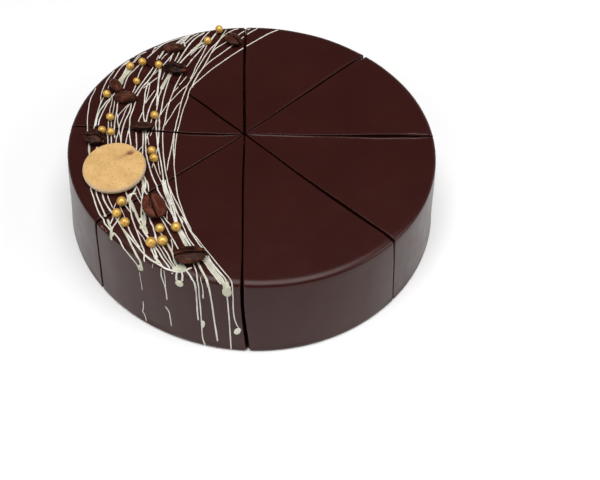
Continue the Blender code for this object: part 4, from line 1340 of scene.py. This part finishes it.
# ------------------------------------------------------------------ biscuit
def biscuit(mat):
    per, rings = 150, 62
    profile = []                                 # (radius, height, edge weight)
    r, h = BISCUIT_R, BISCUIT_H
    top = r - 0.0014
    n_top = 38
    for i in range(1, n_top + 1):
        f = i / n_top
        profile.append((top * f, h - 0.0011 * f ** 2.6, 0.0))
    z0 = h - 0.0011
    for i in range(1, 17):
        a = math.radians(90.0 * i / 16)
        profile.append((top + 0.0014 * math.sin(a), z0 - (z0 - 0.0027) * (1 - math.cos(a)) ** 0.9,
                        math.sin(a) ** 2))
    for i in range(1, 9):
        a = math.radians(80.0 * i / 8)
        profile.append((r - 0.0034 * (1 - math.cos(a)), 0.0027 - 0.0027 * math.sin(a), 1.0))
    verts, tones, faces, grid = [], [], [], []
    dimple = Vector((7.4, 8.1))

    def detail(x, y, rr, z, edge):
        mm = Vector((x * 1000, y * 1000))
        toast = 0.0
        d = (mm - dimple).length
        z -= 0.00085 * math.exp(-(d / 1.05) ** 2)
        z += 0.00016 * math.exp(-((d - 2.3) / 0.9) ** 2)
        toast += 0.95 * math.exp(-(d / 1.30) ** 2)
        # a soft furrow from the dimple in to the lower left, and out to a nick
        for end, depth, tone, wide in ((Vector((2.6, 4.6)), 0.00040, 0.85, 1.15),
                                       (Vector((10.9, 11.2)), 0.00055, 0.60, 0.9)):
            ab = end - dimple
            t = max(0.0, min(1.0, (mm - dimple).dot(ab) / ab.dot(ab)))
            dd = (mm - dimple - ab * t).length
            k = math.exp(-(dd / wide) ** 2) * (1 - 0.65 * t)
            z -= depth * k
            toast += tone * k
        z += 0.00022 * noise.noise(Vector((x * 130, y * 130, 2.0))) * (1 - 0.4 * edge)
        z += 0.00007 * noise.noise(Vector((x * 620, y * 620, 5.0)))
        return z, min(1.0, toast)

    for i, (pr, pz, edge) in enumerate(profile):
        row = []
        for j in range(per):
            a = 2 * math.pi * j / per
            wob = 1.0 + (0.010 * noise.noise(Vector((math.cos(a) * 1.4, math.sin(a) * 1.4, 11.0)))
                         + 0.005 * noise.noise(Vector((math.cos(a) * 5.5, math.sin(a) * 5.5, 21.0)))) * (pr / r) ** 2
            nick = math.exp(-(((a - math.radians(48.0) + math.pi) % (2 * math.pi) - math.pi) / 0.12) ** 2)
            wob -= 0.060 * nick * max(edge, (pr / r) ** 8)
            x, y = pr * wob * math.cos(a), pr * wob * math.sin(a)
            z, toast = pz, 0.0
            if pz > 0.0015:
                z, toast = detail(x, y, pr, pz, edge)
            row.append(len(verts))
            verts.append(Vector((x, y, max(z, 0.0))))
            tones.append((toast, min(1.0, edge * 0.85), 0.0, 1.0))
        grid.append(row)
    topv, lowv = len(verts), len(verts) + 1
    z, toast = detail(0.0, 0.0, 0.0, h, 0.0)
    verts.append(Vector((0, 0, z)))
    verts.append(Vector((0, 0, 0)))
    tones += [(0, 0, 0, 1.0), (0, 1.0, 0, 1.0)]
    for j in range(per):
        faces.append((topv, grid[0][j], grid[0][(j + 1) % per]))
        faces.append((lowv, grid[-1][(j + 1) % per], grid[-1][j]))
    for a, b in zip(grid, grid[1:]):
        for j in range(per):
            faces.append((a[j], b[j], b[(j + 1) % per], a[(j + 1) % per]))
    # a little oval, and its far side lies on the thicker icing
    lean = Matrix.Rotation(math.radians(BISCUIT_LEAN), 3, "X")
    verts = [lean @ Vector((v.x * BISCUIT_OVAL[0], v.y * BISCUIT_OVAL[1], v.z)) for v in verts]
    base = Vector((BISCUIT_AT[0], BISCUIT_AT[1], CAKE_H + TOUCH_GAP - min(v.z for v in verts)))
    obj = mesh_object("biscuit_look", [v + base for v in verts], faces, [mat])
    tone = obj.data.color_attributes.new("toast", "FLOAT_COLOR", "POINT")
    tone.data.foreach_set("color", [c for t in tones for c in t])
    return obj


# ------------------------------------------------------------------- crumbs
def crumbs(mat):
    bm = bmesh.new()
    layer = bm.verts.layers.float_color.new("toast")
    for seed, (x, y, size, red) in enumerate(CRUMBS):
        rng = random.Random(900 + seed)
        s0, th = math.hypot(x, y), math.atan2(y, x)
        p, n = skin(s0 / 1000.0, th)
        made = bmesh.ops.create_icosphere(bm, subdivisions=2, radius=size / 2000.0)["verts"]
        spin = Euler((rng.random() * 6, rng.random() * 6, rng.random() * 6)).to_matrix()
        for v in made:
            d = v.co.normalized()
            k = 1.0 + 0.55 * noise.noise(d * 1.9 + Vector((seed * 4.0, 0, 0)))
            v.co = spin @ (Vector((v.co.x * 1.25, v.co.y * 0.9, v.co.z * 0.7)) * k) + p + n * size * 0.00028
            v[layer] = (red, 0, 0, 1)
    mesh = bpy.data.meshes.new("crumbs")
    bm.to_mesh(mesh)
    bm.free()
    mesh.materials.append(mat)
    mesh.shade_smooth()
    return link(bpy.data.objects.new("crumbs", mesh))


# ---------------------------------------------------------- camera and light
def camera():
    cam = bpy.data.cameras.new("photo_view")
    cam.sensor_width = 36.0
    cam.lens = 37.2
    cam.clip_start = 0.01
    cam.clip_end = 20.0
    obj = link(bpy.data.objects.new("photo_view", cam))
    turn = (Matrix.Rotation(math.radians(-6.74), 4, "Z") @ Matrix.Rotation(math.radians(37.41), 4, "X")
            @ Matrix.Rotation(math.radians(5.62), 4, "Z"))
    obj.matrix_world = Matrix.Translation((0.0, -0.2548, 0.2860)) @ turn
    bpy.context.scene.camera = obj


def area(name, at, aim, size, power, colour=(1, 1, 1)):
    lamp = bpy.data.lights.new(name, "AREA")
    lamp.shape = "RECTANGLE"
    lamp.size, lamp.size_y = size
    lamp.energy = power
    lamp.color = colour
    obj = link(bpy.data.objects.new(name, lamp))
    obj.location = at
    obj.rotation_euler = (Vector(aim) - Vector(at)).to_track_quat("-Z", "Y").to_euler()
    return obj


def studio():
    scene = bpy.context.scene
    scene.view_settings.view_transform = "Standard"
    scene.view_settings.look = "None"
    world = bpy.data.worlds.new("tent")
    scene.world = world
    world.use_nodes = True
    nt = world.node_tree
    bg = nt.nodes["Background"]
    co = add(nt, "ShaderNodeTexCoord").outputs["Generated"]
    sep = add(nt, "ShaderNodeSeparateXYZ", {"Vector": co})
    # pale near the horizon, dim overhead, like an open light tent
    sky = ramp(nt, sep.outputs["Z"], [(0.0, grey(0.36)), (0.24, grey(0.30)), (0.44, grey(0.05)), (1.0, grey(0.04))])
    across = add(nt, "ShaderNodeMath", {0: sep.outputs["X"], 1: 0.5, 2: 0.5}, operation="MULTIPLY_ADD")
    tint = ramp(nt, across.outputs[0], [
        (0.0, (0.56, 0.48, 0.45, 1.0)), (0.35, (0.86, 0.79, 0.76, 1.0)),
        (0.70, (1.0, 0.93, 0.90, 1.0)), (1.0, (1.0, 0.92, 0.89, 1.0))])
    tinted = add(nt, "ShaderNodeMix", data_type="RGBA", blend_type="MULTIPLY")
    tinted.inputs["Factor"].default_value = 1.0
    nt.links.new(sky.outputs["Color"], tinted.inputs["A"])
    nt.links.new(tint.outputs["Color"], tinted.inputs["B"])
    seen = add(nt, "ShaderNodeLightPath").outputs["Is Camera Ray"]
    mix = add(nt, "ShaderNodeMix", data_type="RGBA")
    nt.links.new(seen, mix.inputs["Factor"])
    nt.links.new(tinted.outputs["Result"], mix.inputs["A"])
    mix.inputs["B"].default_value = (0.90, 0.90, 0.90, 1.0)
    nt.links.new(mix.outputs["Result"], bg.inputs["Color"])
    bg.inputs["Strength"].default_value = 1.0
    area("overhead", (0.0, -0.10, 1.90), (0.0, 0.0, 0.0), (2.0, 1.2), 39.0)
    area("front_left", (-1.0, -0.9, 0.95), (0.0, 0.0, 0.03), (0.8, 0.8), 5.5)
    area("right", (1.25, -0.3, 0.8), (0.0, 0.0, 0.03), (0.7, 0.8), 5.5)
    floor_mesh = bpy.data.meshes.new("floor")
    n, half = 24, 4.0
    verts, faces = [], []
    for i in range(n + 1):
        for j in range(n + 1):
            verts.append((-half + 2 * half * i / n, -half + 2 * half * j / n, -0.0004))
    for i in range(n):
        for j in range(n):
            a = i * (n + 1) + j
            faces.append((a, a + n + 1, a + n + 2, a + 1))
    floor_mesh.from_pydata(verts, [], faces)
    floor_mesh.materials.append(floor_material())
    floor = link(bpy.data.objects.new("floor", floor_mesh))


# --------------------------------------------------------------------- main
def main():
    camera()
    studio()
    glaze = glaze_material()
    sponge = cake_material("sponge_look", (232, 172, 96), (186, 116, 52), (244, 198, 130), 0.85, 900.0, 0.0004)
    mousse = cake_material("mousse_look", (222, 158, 114), (200, 128, 84), (232, 178, 136), 0.65, 1500.0, 0.00015)
    dark = cake_material("crumb_layer_look", (88, 48, 30), (48, 24, 16), (122, 72, 44), 0.85, 700.0, 0.0005)
    mats = [glaze, sponge, mousse, dark]
    for i in range(8):
        obj = slice_mesh(i, mats)
        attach(obj, "root")
        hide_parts("slice_%02d" % (i + 1))
    obj = drizzle(icing_material())
    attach(obj, "root")
    obj = pearls(pearl_material())
    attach(obj, "root")
    roast = bean_material()
    for spec in BEANS:
        obj = bean(*spec, roast)
        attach(obj, "root")
        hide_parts(spec[0])
    obj = biscuit(biscuit_material())
    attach(obj, "root")
    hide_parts("biscuit")
    obj = crumbs(crumb_material())
    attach(obj, "root")


main()
